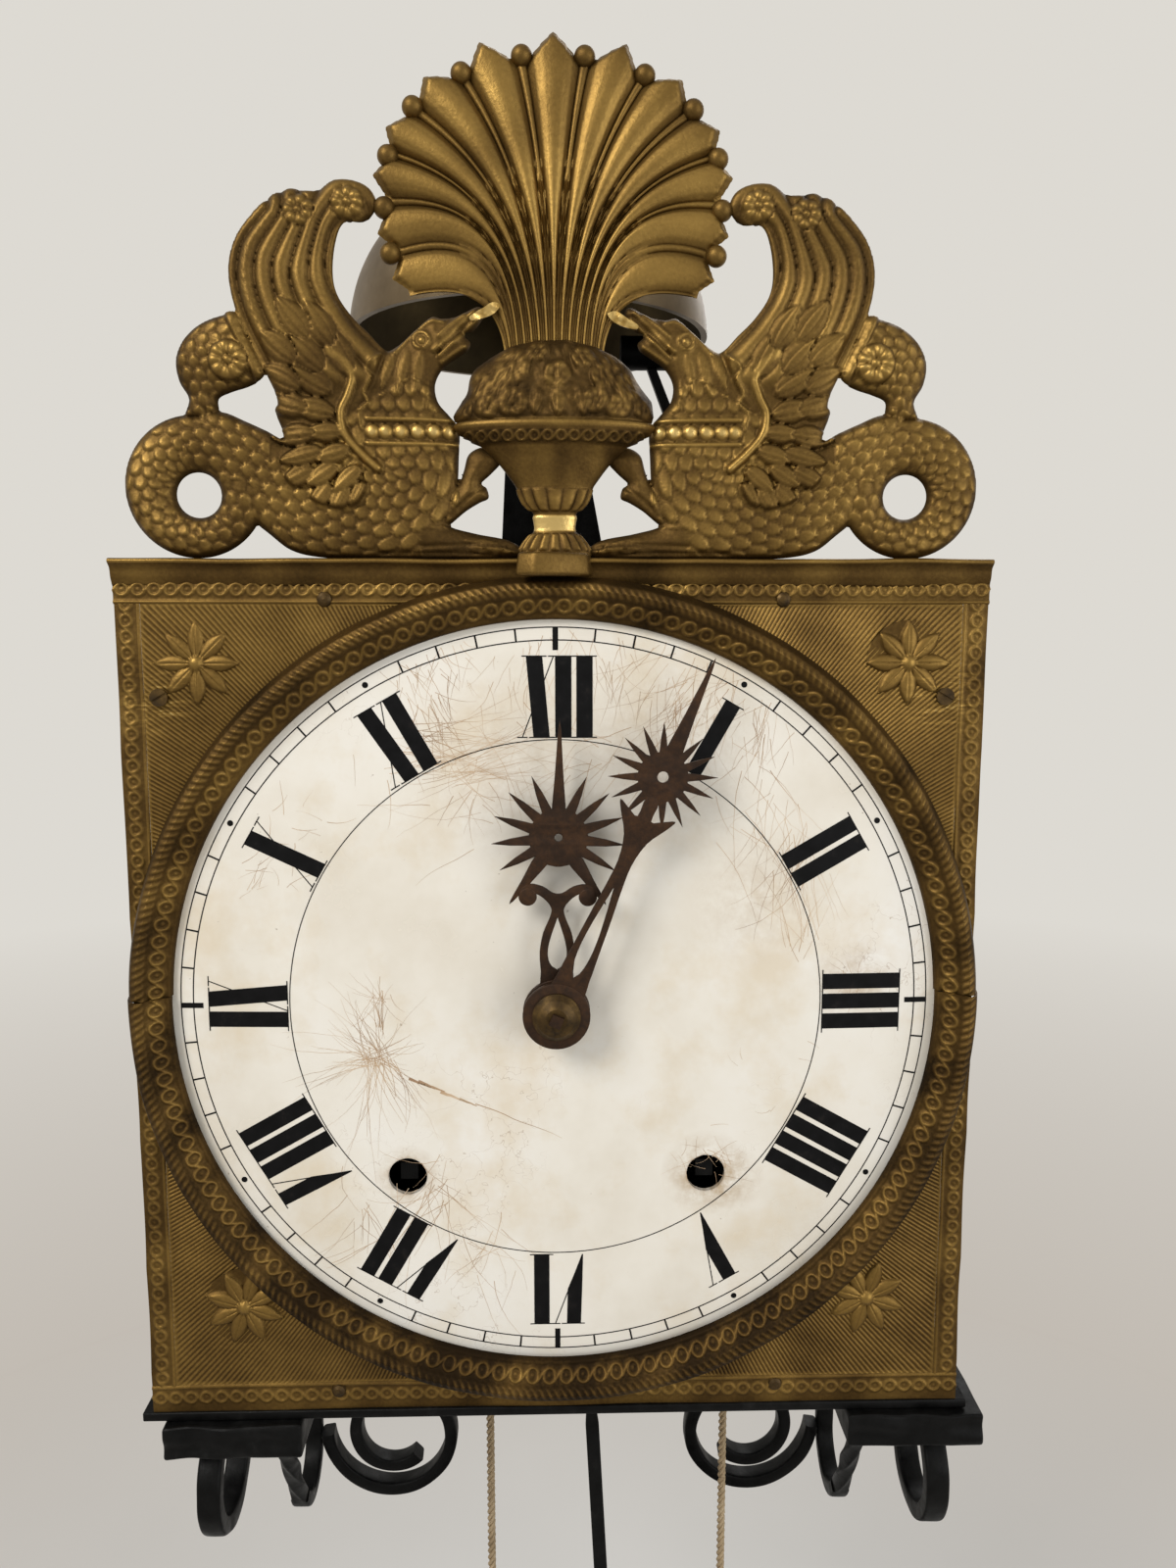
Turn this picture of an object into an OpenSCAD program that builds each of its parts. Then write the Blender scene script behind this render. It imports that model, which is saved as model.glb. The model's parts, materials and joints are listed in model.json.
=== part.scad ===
// Comtoise wall clock with a stamped brass front, standing on a forged iron wall bracket.
// Millimetres. X is right, Y goes into the wall, Z is up. The wall is the plane Y = 0, and the
// origin is the middle of the four wall screws. Inside at_clock() the origin is the dial's centre.

/* [Wall bracket] */
// Half the distance between the middles of the two arms
arm_half_gap = 112.5; // [104:0.5:118]
// Width of an arm
arm_w = 46; // [40:1:52]
// Height of an arm
arm_h = 12; // [9:0.5:14]
// Length of an arm from the wall to its front end
arm_len = 171; // [168:1:185]
// Height of the arms' top above the middle of the wall screws
arm_top = -40; // [-44:1:-36]
// Width of the upright strap that takes the wall screws
strap_w = 30; // [24:1:36]
// Thickness of the strap
strap_t = 5; // [4:0.5:7]
// Vertical distance between the two wall screws of a strap
screw_gap = 40; // [32:1:46]
// Radius of a wall screw's hole
screw_hole_r = 2.75; // [2:0.25:3.5]
// Distance from an arm's middle out to its scroll
scroll_out = 10.5; // [8:0.5:14]
// Width of the scroll's bar
scroll_w = 8; // [6:0.5:9]
// Thickness of the scroll's bar
scroll_t = 6; // [4:0.5:7]
// Radius of the front ring, to the middle of its bar
ring_r = 18.5; // [15:0.5:21]
// Distance from the arm's front end back to the middle of the front ring
ring_back = 27; // [26:0.5:32]
// Distance from the wall to the top end of the twisted brace
brace_top = 105; // [98:1:112]
// Side of the twisted brace's square bar
brace_side = 6.4; // [5:0.2:7.5]
// Radius of the bend at the bottom of the brace, to the middle of its bar
bend_r = 18; // [14:0.5:22]
// Drop from the arm's top to the middle of that bend
bend_drop = 123; // [110:1:135]
// Outer radius of a wall spiral
spiral_r = 36; // [32:0.5:38]
// Bar of the spiral, along its radius
spiral_bar = 6; // [5:0.5:7]
// Depth of the spiral's bar
spiral_depth = 9; // [7:0.5:11]
// Turns of the spiral
spiral_turns = 1.36; // [1.2:0.02:1.5]

/* [Case] */
// How far the clock stands to the right of the bracket's middle
clock_shift = -6; // [-9:0.5:-3]
// Distance from the wall to the dial's plane
wall_depth = 167; // [165:1:172]
// Height of the dial's centre above the arms
dial_height = 140; // [140:1:144]
// Half width of the bottom plate
bottom_half_w = 136; // [134:1:140]
// Thickness of the top and bottom plates
plate_t = 3; // [2.5:0.25:3]
// Underside of the top plate above the dial's centre
top_plate_z = 128; // [127:0.5:129]
// Depth of the case's rear edge behind the dial's plane
case_back = 151; // [150:0.5:154]
// Outer faces of the corner posts, from the middle
post_outer = 126; // [124:0.5:128]
// Width of a corner post
post_w = 12; // [10:0.5:13]
// Depth of a corner post
post_depth = 9; // [8:0.5:10]
// Thickness of the sheet iron back and doors
sheet_t = 1.2; // [1:0.1:1.5]
// Radius of a door's rolled rear edge
door_roll_r = 2.2; // [2:0.1:2.5]
// Radius of a door's pivot pins
door_pin_r = 1.5; // [1.2:0.1:1.7]

/* [Brass front] */
// Half width of the brass front
front_half_w = 132.5; // [131:0.5:134]
// Brass left between the dial opening and the front's edge
front_margin = 12; // [11.5:0.5:13]
// Width of the raised ring round the dial
ring_w = 13.5; // [12.5:0.5:14.5]
// How far that ring stands out from the plate
bezel_rise = 8; // [6:0.5:9]
// Thickness of the stamped brass
brass_t = 1.2; // [1:0.1:1.4]
// How far the lower half laps over the upper one
lap = 3.5; // [2:0.5:5]
// Top of the brass ledge under the crest
ledge_z = 138.5; // [137.5:0.5:139.5]
// Radius of the front's domed nails
nail_r = 2.4; // [2:0.1:3]
// Radius of the front's slotted screw heads
front_screw_r = 2.7; // [2.4:0.1:3.2]

/* [Crest] */
// Relief of the sheaf's middle leaf
leaf_relief = 5; // [3:0.5:7]
// Radius of the beads between the leaves
bead_r = 3; // [2.5:0.1:3.4]
// Depth of the urn's relief as a share of its half width
urn_flat = 0.36; // [0.3:0.02:0.42]

/* [Dial and hands] */
// How far the enamel dial reaches behind the opening's edge
dial_lap = 1.5; // [1:0.1:2]
// Thickness of the dial
dial_t = 1.8; // [1.5:0.1:2]
// How far the dial's middle bulges out
dial_bulge = 3; // [2:0.25:3.5]
// Radius of the winding holes
key_hole_r = 6.2; // [5.5:0.1:7]
// Thickness of a hand
hand_t = 1.2; // [0.8:0.1:1.4]
// Length of the minute hand
minute_len = 119; // [110:0.5:119.5]
// Length of the hour hand
hour_len = 90.5; // [84:0.5:94]
// Angle of the minute hand after twelve
minute_angle = 23.5; // [0:0.5:359.5]
// Angle of the hour hand after twelve
hour_angle = 1.5; // [0:0.5:359.5]

/* [Bell] */
// Radius of the bell's rim
bell_r = 64; // [60:0.5:68]
// Height of the bell
bell_h = 48; // [44:0.5:52]
// Wall of the bell
bell_wall = 2.2; // [1.8:0.1:2.6]
// Height of the bell's rim above the dial's centre
bell_rim_z = 221; // [218:0.5:224]
// Middle of the bell, to the right of the clock's middle
bell_x = -9; // [-11:0.5:-7]
// Depth of the bell's middle behind the dial's plane
bell_y = 85; // [82:0.5:88]
// Half width of the bell stand's foot
stand_foot = 20.5; // [17:0.5:22]
// Thickness of the bell stand
stand_t = 6; // [5:0.5:7]

/* [Movement] */
// Distance of the two trains from the middle
train_x = 48; // [47.5:0.5:48.5]
// Height of the great wheels
great_z = -57; // [-58:0.5:-56]
// Tooth size of the great wheels
great_m = 1.1; // [1.1:0.01:1.11]
// Tooth size of the second wheels
second_m = 1; // [1:0.01:1.01]
// Tooth size of the third wheels
third_m = 0.9; // [0.9:0.01:0.91]
// Extra distance between meshing arbors
mesh_gap = 0.15; // [0.1:0.05:0.2]
// Thickness of a wheel
wheel_t = 2; // [1.6:0.2:2.2]
// Radius of a plain arbor
arbor_r = 2; // [1.8:0.1:2.2]
// Radial clearance of a turning arbor
run_gap = 0.05; // [0.02:0.01:0.08]
// Radius of a winding arbor
drum_arbor_r = 4; // [3.6:0.1:4.4]
// Radius of a cord drum's core
drum_r = 18.1; // [17.5:0.1:18.2]
// Width of a movement bar
bar_w = 18; // [16:0.5:20]
// Radius of the escape wheel
escape_r = 20; // [18:0.5:21]
// Height of the pendulum's pivot
pivot_z = 62; // [60:0.5:64]

/* [Pendulum, cords and weights] */
// Swing of the pendulum to the right, as stored
swing = 3.07; // [0:0.05:4]
// Length of the pendulum from its pivot to its bob's middle
pendulum_len = 620; // [560:5:660]
// Radius of the bob
bob_r = 57; // [45:1:65]
// Thickness of the bob
bob_t = 18; // [14:1:22]
// Width of the pendulum's strip
strip_w = 4.8; // [4:0.2:6]
// Diameter of the hemp cord
cord_d = 3.5; // [3:0.1:3.6]
// Turns of cord left on a drum
cord_turns = 4; // [2:1:5]
// Depth where the cord leaves its drum
cord_y = 88; // [87:0.5:89]
// Height of the cords' lower end
cord_end_z = -300; // [-320:1:-290]
// Radius of a weight
weight_r = 37; // [30:0.5:42]
// Height of a weight's body
weight_h = 150; // [120:1:170]

/* [Hidden] */
$fn = 64;

// Depths of the movement's layers behind the dial's plane
plate_back = 2.6;
dial_front = -0.2;
hour_hand_y = -7.5;
minute_hand_y = -11.5;
hour_wheel_y = 9;
cannon_y = 14;
centre_wheel_y = 19.5;
bridge_y = 23.5;
bridge_t = 3;
pendulum_y = 31;
cock_y = 36;
cock_t = 3;
crutch_y = 40;
front_bar_y = 44;
rear_bar_y = 128;
bar_t = 4;
escape_y = 50;
third_y = 54;
great_y = 60;
second_y = 118;
anchor_cock_y = 62;
hammer_tail_y = 123.5;
front_post_y = 6;

// Case heights, from the dial's centre
case_bottom = -dial_height + plate_t;
opening_r = front_half_w - front_margin;
bezel_r = opening_r + ring_w;
dial_r = opening_r + dial_lap;
post_len = top_plate_z - case_bottom;
rear_post_y = case_back - 16;
panel_y = rear_post_y + post_depth;
hinge_x = post_outer + 0.4 + sheet_t / 2;
hinge_y = panel_y + sheet_t + door_roll_r + 0.5;
door_gap = 0.4;

// Train arbors as [x, z] from the dial's centre
great_teeth = 80;
second_teeth = 64;
pin_wheel_teeth = 60;
going_third_teeth = 60;
strike_third_teeth = 50;
escape_teeth = 38;
leaves = 8;
motion_teeth = 36;
hour_teeth = 96;
centre_teeth = 48;
second_z = great_z + great_m * (great_teeth + leaves) / 2 + mesh_gap;
third_reach = second_m * (second_teeth + leaves) / 2 + mesh_gap;
third_lean = 33.8;
going_great = [train_x, great_z];
going_second = [train_x, second_z];
going_third = going_second + third_reach * [-sin(third_lean), cos(third_lean)];
escape_reach = third_m * (going_third_teeth + leaves) / 2 + mesh_gap;
escape_at = [0, going_third[1] + sqrt(pow(escape_reach, 2) - pow(going_third[0], 2))];
pivot_at = [0, pivot_z];
strike_great = [-train_x, great_z];
strike_pin = [-train_x, second_z];
strike_third_z = second_z + second_m * (pin_wheel_teeth + leaves) / 2 + mesh_gap;
strike_third = [-train_x, strike_third_z];
fly_at = strike_third + [0, third_m * (strike_third_teeth + leaves) / 2 + mesh_gap];

// Motion work: minutes to hours through the reverse wheel
motion_m = 1;
reverse_reach = motion_m * motion_teeth + mesh_gap;
hour_m = 2 * (reverse_reach - mesh_gap) / (hour_teeth + leaves);
bridge_z = -30;
reverse_at = [-sqrt(pow(reverse_reach, 2) - pow(bridge_z, 2)), bridge_z];
centre_m = (norm(going_second) - mesh_gap) / centre_teeth;
minute_arbor_r = 3;
hour_pipe_r = 5;
reverse_stud_r = 1.2;
seat_gap = 0.02;

// Cord and drum
cord_r = cord_d / 2;
cord_reach = drum_r + 0.15 + cord_r;
cord_pitch = cord_d + 0.7;
cord_top_gap = 0.3;
drum_len = 44;
drum_y = great_y + wheel_t + 4.6;
ratchet_r = 16;
great_hub_r = 24;
click_angle = 160;
click_t = 2.4;
flange_r = 24;

// Hammer
hammer_at = [75, 112];
hammer_head_at = [33, 217];
hammer_y = bell_y;

// Bell stand and bell
bell_crown_z = bell_rim_z + bell_h;
stud_r = 3;
stand_base_z = top_plate_z + plate_t;
stand_top_z = bell_crown_z - bell_wall - 3;

// Bracket, from the origin
arm_under = arm_top - arm_h;
scroll_x = arm_half_gap + scroll_out;
ring_z = arm_under - ring_r - scroll_t / 2;
bend_at = [-scroll_t / 2 - bend_r, arm_top - bend_drop];
brace_from = [-brace_top, arm_under];
brace_d = norm(brace_from - bend_at);
brace_start = atan2(brace_from[1] - bend_at[1], brace_from[0] - bend_at[0]) + acos(bend_r / brace_d);
brace_to = bend_at + bend_r * [cos(brace_start), sin(brace_start)];
spiral_x = scroll_x - scroll_w / 2 - spiral_r;
spiral_z = bend_at[1];
spiral_end_r = 15.5;

// Placing

module at_clock() { translate([clock_shift, -wall_depth, arm_top + dial_height]) children(); }

// Extrudes a front view, drawn as x and z, from depth y0 back to y1
module slab(y0, y1) { translate([0, y1, 0]) rotate([90, 0, 0]) linear_extrude(y1 - y0) children(); }

module rod(r, y0, y1) { translate([0, y1, 0]) rotate([90, 0, 0]) cylinder(r = r, h = y1 - y0); }

module at(p) { translate([p[0], 0, p[1]]) children(); }

module block(x0, x1, y0, y1, z0, z1) { translate([x0, y0, z0]) cube([x1 - x0, y1 - y0, z1 - z0]); }

module both_sides() {
    children();
    mirror([1, 0, 0]) children();
}

// Curves

function bend_point(a, b, c, t) = (1 - t) * (1 - t) * a + 2 * t * (1 - t) * b + t * t * c;

// A smooth closed curve through the points
function spline_point(a, b, c, d, t) =
    0.5 * (2 * b + (c - a) * t + (2 * a - 5 * b + 4 * c - d) * t * t + (3 * b - a - 3 * c + d) * t * t * t);
function smooth(p, steps = 3) = let (n = len(p))
    [for (i = [0 : n - 1], s = [0 : steps - 1])
        spline_point(p[(i + n - 1) % n], p[i], p[(i + 1) % n], p[(i + 2) % n], s / steps)];

// Wheels

// Tooth outline: widths are shares of the pitch, up and down are in tooth sizes
function tooth_ring(teeth, m, up, down, wide, tip) =
    let (r = teeth * m / 2, pitch = 360 / teeth)
    [for (i = [0 : teeth - 1])
        for (k = [[r - down * m, -wide * 0.56], [r, -wide * 0.5], [r + up * m * 0.65, -(wide + tip) * 0.22],
            [r + up * m, 0], [r + up * m * 0.65, (wide + tip) * 0.22],
            [r, wide * 0.5], [r - down * m, wide * 0.56]])
            k[0] * [cos((i + k[1]) * pitch), sin((i + k[1]) * pitch)]];
function leaf_ring(teeth, m, up, down, wide) =
    let (r = teeth * m / 2, pitch = 360 / teeth)
    [for (i = [0 : teeth - 1])
        for (k = [[r - down * m, -wide * 0.5], [r, -wide * 0.5], [r + up * m, -wide * 0.2],
            [r + up * m, wide * 0.2], [r, wide * 0.5], [r - down * m, wide * 0.5]])
            k[0] * [cos((i + k[1]) * pitch), sin((i + k[1]) * pitch)]];

wheel_up = 0.95;
wheel_down = 1.5;
tooth_wide = 0.36;
tooth_tip = 0.12;
leaf_up = 0.6;
leaf_down = 1.5;
leaf_wide = 0.3;

// A crossed out brass wheel, one tooth pointing along angle
spoke_w = 3.6;

module wheel(teeth, m, y, angle, arms, hub_r, bore_r) {
    rim_r = teeth * m / 2 - wheel_down * m - 2.6;
    slab(y, y + wheel_t) difference() {
        rotate(angle) polygon(tooth_ring(teeth, m, wheel_up, wheel_down, tooth_wide, tooth_tip));
        difference() {
            circle(r = rim_r);
            circle(r = hub_r);
            for (i = [0 : arms - 1]) rotate(i * 360 / arms + 90)
                translate([0, -spoke_w / 2]) square([rim_r + 1, spoke_w]);
        }
        if (bore_r > 0) circle(r = bore_r);
    }
}

// An eight leaved pinion with one gap pointing along angle
module pinion(m, y0, y1, angle) {
    slab(y0, y1) rotate(angle + 180 / leaves) polygon(leaf_ring(leaves, m, leaf_up, leaf_down, leaf_wide));
}

function heading(a, b) = atan2(b[1] - a[1], b[0] - a[0]);

// Case

module bottom_plate() color("#1d1b1a") at_clock() difference() {
    block(-bottom_half_w, bottom_half_w, -3.2, case_back, -dial_height, case_bottom);
    block(-26, 42, pendulum_y - 7, pendulum_y + 7, -dial_height - 1, case_bottom + 1);
    for (x = [-train_x, train_x])
        block(x + cord_reach - 8, x + cord_reach + 8, cord_y - 25, cord_y + 10,
            -dial_height - 1, case_bottom + 1);
    door_pivots();
}

// Bores for the doors' pins through the top and bottom plates
module door_pivots() both_sides() translate([hinge_x, hinge_y, -dial_height - 1])
    cylinder(r = door_pin_r + run_gap, h = dial_height + top_plate_z + plate_t + 2);

module top_plate() color("#2a2725") at_clock() difference() {
    block(-front_half_w, front_half_w, plate_back, case_back, top_plate_z, top_plate_z + plate_t);
    block(56, 84, hammer_y - 6, hammer_y + 6, top_plate_z - 1, top_plate_z + plate_t + 1);
    door_pivots();
}

module corner_posts() color("#2a2725") at_clock() difference() {
    both_sides() {
        block(post_outer - post_w, post_outer, front_post_y, front_post_y + post_depth,
            case_bottom, top_plate_z);
        block(post_outer - post_w, post_outer, rear_post_y, panel_y, case_bottom, top_plate_z);
    }
    front_screw_places() rod(front_screw_r / 2, front_post_y - 1, front_post_y + post_depth - 2);
}

module back_panel() color("#33302d") at_clock()
    block(-post_outer + post_w / 2, post_outer - post_w / 2, panel_y, panel_y + sheet_t,
        case_bottom, top_plate_z);

// Movement bars

module upright_bar(x, y) block(x - bar_w / 2, x + bar_w / 2, y, y + bar_t, case_bottom, top_plate_z);

// The arm that carries the third and escape arbors beside the going bar
module train_arm(y) slab(y, y + bar_t) {
    hull() {
        translate(going_second + [0, 6]) circle(r = 8, $fn = 32);
        translate(going_third) circle(r = 8, $fn = 32);
    }
    hull() {
        translate(going_third) circle(r = 8, $fn = 32);
        translate(escape_at) circle(r = 7, $fn = 32);
    }
}

going_arbors = [going_second, going_third, escape_at];
strike_arbors = [strike_pin, strike_third, fly_at];

module going_bar(y) color("#3a3632") at_clock() difference() {
    union() {
        upright_bar(train_x, y);
        train_arm(y);
    }
    for (p = going_arbors) at(p) rod(arbor_r + run_gap, y - 1, y + bar_t + 1);
    at(going_great) rod(drum_arbor_r + run_gap, y - 1, y + bar_t + 1);
}

module strike_bar(y) color("#3a3632") at_clock() difference() {
    upright_bar(-train_x, y);
    for (p = strike_arbors) at(p) rod(arbor_r + run_gap, y - 1, y + bar_t + 1);
    at(strike_great) rod(drum_arbor_r + run_gap, y - 1, y + bar_t + 1);
}

module going_front_bar() going_bar(front_bar_y);
module going_rear_bar() going_bar(rear_bar_y);
module strike_front_bar() strike_bar(front_bar_y);
module strike_rear_bar() strike_bar(rear_bar_y);

// The cock that holds the pendulum's stud and the anchor's front pivot
module pendulum_cock() color("#3a3632") at_clock() difference() {
    union() {
        block(-9, 9, cock_y, cock_y + cock_t, pivot_z - 9, top_plate_z);
        at(pivot_at) rod(2, pendulum_y - 3.5, cock_y);
        at(pivot_at) rod(3.4, pendulum_y - 5, pendulum_y - 3.5);
    }
    at(pivot_at) rod(1.5 + run_gap, cock_y + 1, cock_y + cock_t + 1);
}

module anchor_cock() color("#3a3632") at_clock() difference() {
    block(-8, 8, anchor_cock_y, anchor_cock_y + cock_t, pivot_z - 8, top_plate_z);
    at(pivot_at) rod(1.5 + run_gap, anchor_cock_y - 1, anchor_cock_y + cock_t + 1);
}

module hammer_cocks() color("#3a3632") at_clock() difference() {
    for (y = [72, rear_bar_y])
        block(hammer_at[0] - 8, hammer_at[0] + 8, y, y + cock_t, hammer_at[1] - 9, top_plate_z);
    at(hammer_at) rod(arbor_r + run_gap, 70, rear_bar_y + cock_t + 1);
}

// The bridge under the motion work, on two pillars from the front bars
module motion_bridge() color("#3a3632") at_clock() difference() {
    union() {
        slab(bridge_y, bridge_y + bridge_t) {
            translate([-train_x - 7, bridge_z - 6]) square([2 * train_x + 14, 12]);
            translate([-6, bridge_z]) square([12, -bridge_z]);
            circle(r = 8);
        }
        for (x = [-train_x, train_x]) at([x, bridge_z]) rod(4, bridge_y + bridge_t, front_bar_y);
        at(reverse_at) rod(reverse_stud_r, hour_wheel_y - 3, bridge_y);
    }
    rod(minute_arbor_r + run_gap, bridge_y - 1, bridge_y + bridge_t + 1);
}

rack_x = -train_x;
rack_w = 9;
rack_t = 3;
rack_y = 33;
rack_gap = 0.15;
guide_low = 36;
guide_high = 76;

// Two guides on the strike bar that hold the sliding rack
module rack_guides() color("#4a4540") at_clock() for (z = [guide_low, guide_high]) difference() {
    block(rack_x - 8, rack_x + 8, rack_y - 3, front_bar_y, z - 4, z + 4);
    block(rack_x - rack_w / 2 - rack_gap, rack_x + rack_w / 2 + rack_gap,
        rack_y - rack_gap, rack_y + rack_t + rack_gap, z - 5, z + 5);
}

// Brass front

// Section of the ring round the dial: an inner lip, a cove with the chain band and the rope on top
bezel_section = [[0, 0], [0, 2.4], [1.2, 2.4], [2.2, 2.8], [6.2, bezel_rise - 1.6], [8.4, bezel_rise],
    [11.2, bezel_rise - 0.6], [bezel_r - opening_r, 1.2], [bezel_r - opening_r, 0], [9, 0], [3, 0]];

module bezel_ring() rotate([90, 0, 0]) rotate_extrude($fn = 96)
    polygon([for (p = bezel_section) [opening_r + p[0], p[1]]]);

module half_front(z0, z1) {
    slab(-brass_t, 0) difference() {
        translate([-front_half_w, z0]) square([2 * front_half_w, z1 - z0]);
        circle(r = opening_r + 2, $fn = 96);
    }
    intersection() {
        bezel_ring();
        block(-front_half_w, front_half_w, -bezel_rise - 1, 1, z0, z1);
    }
}

rosette_at = [108.5, 107];
rosette_low = [101.5, -100];

// Eight petals round a boss
module rosette(p) at(p) {
    for (i = [0 : 7]) rotate([0, i * 45, 0]) slab(-brass_t - 1.2, -brass_t)
        polygon([[2.5, 0], [6, 2.3], [9.5, 2.2], [12.5, 0], [9.5, -2.2], [6, -2.3]]);
    rod(3, -brass_t - 1.8, -brass_t);
}

// The rolled ledge along the top: a round over a hollow
module ledge() translate([-front_half_w, 0, 0]) rotate([90, 0, 90]) linear_extrude(2 * front_half_w)
    polygon([[0, ledge_z - 8], [-brass_t, ledge_z - 8], [-brass_t - 0.6, ledge_z - 6], [-2.6, ledge_z - 5],
        [-4.6, ledge_z - 3.6], [-5, ledge_z - 2], [-4.2, ledge_z - 0.6], [-2.6, ledge_z], [0, ledge_z]]);

module upper_front_plate() color("#7d5f2c") at_clock() difference() {
    translate([0, plate_back, 0]) {
        half_front(lap, ledge_z - 7.5);
        ledge();
        both_sides() rosette(rosette_at);
    }
    front_screw_places() rod(front_screw_r / 2, -9, plate_back + 1);
    front_nail_places(1) rod(nail_r / 3, -9, plate_back + 1);
}

module lower_front_plate() color("#7d5f2c") at_clock() difference() {
    translate([0, plate_back - brass_t - 0.1, 0]) {
        half_front(case_bottom, lap);
        both_sides() rosette(rosette_low);
    }
    front_nail_places(-1) rod(nail_r / 3, -9, plate_back + 1);
}

nail_high = 126.5;
nail_low = case_bottom + 6.5;
nail_clear_high = 10.3;
nail_clear_low = 15;

// A nail's place at a height, clear of the ring by a distance
function nail_at(z, clear) = [sqrt(pow(bezel_r + clear, 2) - z * z), z];

module front_nail_places(side) both_sides()
    at(side > 0 ? nail_at(nail_high, nail_clear_high) : nail_at(nail_low, nail_clear_low)) children();

// Small domed nails
module front_nails() color("#4d4230") at_clock() for (side = [1, -1]) {
    face = side > 0 ? plate_back - brass_t : plate_back - 2 * brass_t - 0.1;
    front_nail_places(side) {
        rod(nail_r / 3, face, plate_back + 1.5);
        translate([0, face, 0]) rotate([90, 0, 0]) rotate_extrude($fn = 24)
            polygon([[0, 0], [nail_r, 0], [nail_r * 0.85, 0.7], [nail_r * 0.5, 1.2], [0, 1.4]]);
    }
}

front_screw_at = [post_outer - post_w / 2, 97];

module front_screw_places() both_sides() at(front_screw_at) children();

// Slotted screws that hold the front to the posts
module front_screws() color("#3d3833") at_clock() {
    face = plate_back - brass_t;
    front_screw_places() {
        rod(front_screw_r / 2, face - 0.4, front_post_y + post_depth - 2);
        difference() {
            rod(front_screw_r, face - 1.4, face);
            rotate([0, 30, 0])
                block(-front_screw_r - 1, front_screw_r + 1, face - 2, face - 0.8, -0.35, 0.35);
        }
    }
}

// Crest

// Right dragon from its hind foot along the ledge, up the breast, round the head and wing to the tail
dragon_line = [[90, 150], [85, 145.5], [79, 141], [71, 139], [58, 138.4], [34, 138.4], [14, 138.4],
    [9.5, 140.5], [14, 144], [24, 146], [32, 148.5], [30.5, 153], [29, 160], [28.5, 168], [28.3, 176],
    [30.5, 180.5], [34, 185], [35, 190], [33, 196], [29, 199.4], [25.5, 201.5], [27.5, 204.5],
    [19, 208.5], [17, 210.5], [23, 211.5], [30, 208.6], [38, 206], [44, 202.5], [49, 199.6], [54, 203],
    [59, 208], [63, 214], [64, 220], [63, 228], [60.5, 233.5], [55, 234], [51, 238], [52.5, 242.6],
    [57, 245], [63, 245.2], [69, 242.2], [75, 242.8], [81, 240.8], [87, 235.5], [92, 228.5], [94, 220],
    [92.5, 210], [89, 202], [84.5, 192.5], [81, 184], [82, 180.5], [79.5, 173], [85, 175.6], [91, 178.3],
    [98, 181], [105, 180], [99, 168], [95, 158]];
tail_curl_line = [[89, 202], [92, 208.6], [98, 208], [104, 205.4], [108.6, 201], [110.8, 195.5],
    [110, 189.6], [107.4, 184.6], [108.5, 179], [99.5, 180], [98.8, 184.6], [95, 186.6], [89, 188.6],
    [84.5, 192]];
foreleg_line = [[33, 148], [26.5, 152.6], [22.5, 155], [19.8, 156.4], [20.4, 159.4], [22, 160.6],
    [18.8, 163.6], [15.6, 167.4], [18, 170.2], [22, 171], [25.6, 169], [27, 164.6], [28.6, 160.4],
    [32, 156]];
tail_ring_at = [106.5, 159.4];
tail_ring_r = 20.8;
tail_hole_at = [105.6, 157];
tail_hole_r = 6.6;
rosette_places = [[72.5, 236.5], [58.5, 238.5], [96, 194.5]];

module dragon_shape() {
    difference() {
        union() {
            polygon(smooth(dragon_line));
            translate(tail_ring_at) circle(r = tail_ring_r);
        }
        translate(tail_hole_at) circle(r = tail_hole_r);
    }
    polygon(smooth(tail_curl_line));
    polygon(smooth(foreleg_line));
}

// Long wing feathers, as centre lines from the shoulder to the wing's tip
feather_roots = [[58, 186], [62, 184], [66, 182], [70, 181]];
feather_bows = [[71, 214], [78, 214], [85, 212], [91, 207]];
feather_tips = [[63, 235], [70, 236], [78, 237], [84, 234]];

function across(v) = [-v[1], v[0]] / norm(v);

// A blade along a curve from a through b to c, widest at share wide_at
function blade(a, b, c, half, steps = 8) =
    let (width = [for (s = [0 : steps]) half * (0.25 + 0.75 * sin(150 * s / steps)) * (s == steps ? 0 : 1)],
        middle = [for (s = [0 : steps]) bend_point(a, b, c, s / steps)],
        side = [for (s = [0 : steps]) across(bend_point(a, b, c, min(1, (s + 0.5) / steps))
            - bend_point(a, b, c, max(0, (s - 0.5) / steps)))])
    concat([for (s = [0 : steps]) middle[s] + width[s] * side[s]],
        [for (s = [steps - 1 : -1 : 0]) middle[s] - width[s] * side[s]]);

// Tips of the sheaf's leaves on the right, from the middle outwards
leaf_tips = [[0, 286], [21, 283], [37, 273.5], [48, 260], [52, 247], [51, 231], [47, 218.5]];
leaf_foot = 2;
sheaf_z = 198;
leaf_bow_z = 245;
bead_places = [[9, 279.5], [26.5, 275], [41, 266], [48.5, 252.5], [50, 238], [48.5, 225]];

leaf_half = 6;
leaf_narrowing = 0.4;

// Right edge of the sheaf's ground, from the foot round under the beads to the top
ground_edge = [[14, sheaf_z], [14.6, 205], [18, 211], [24, 215.5], [32, 217.5], [44, 219.5], [46, 225],
    [47.5, 232], [47.5, 238], [48, 246], [46, 252], [44, 259], [39, 264], [33.5, 271], [25.5, 273],
    [19, 279], [9, 277.5], [4, 280]];

// A leaf's bow rises with its tip and stops at one height for the tall ones
function bow_point(foot, tip) = [foot[0] * 1.15, min(leaf_bow_z, sheaf_z + 1.5 * (tip[1] - sheaf_z))];
function leaf_line(i) = let (foot = [i * leaf_foot, sheaf_z], tip = leaf_tips[i])
    blade(foot, bow_point(foot, tip), tip, leaf_half - leaf_narrowing * i);

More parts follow.
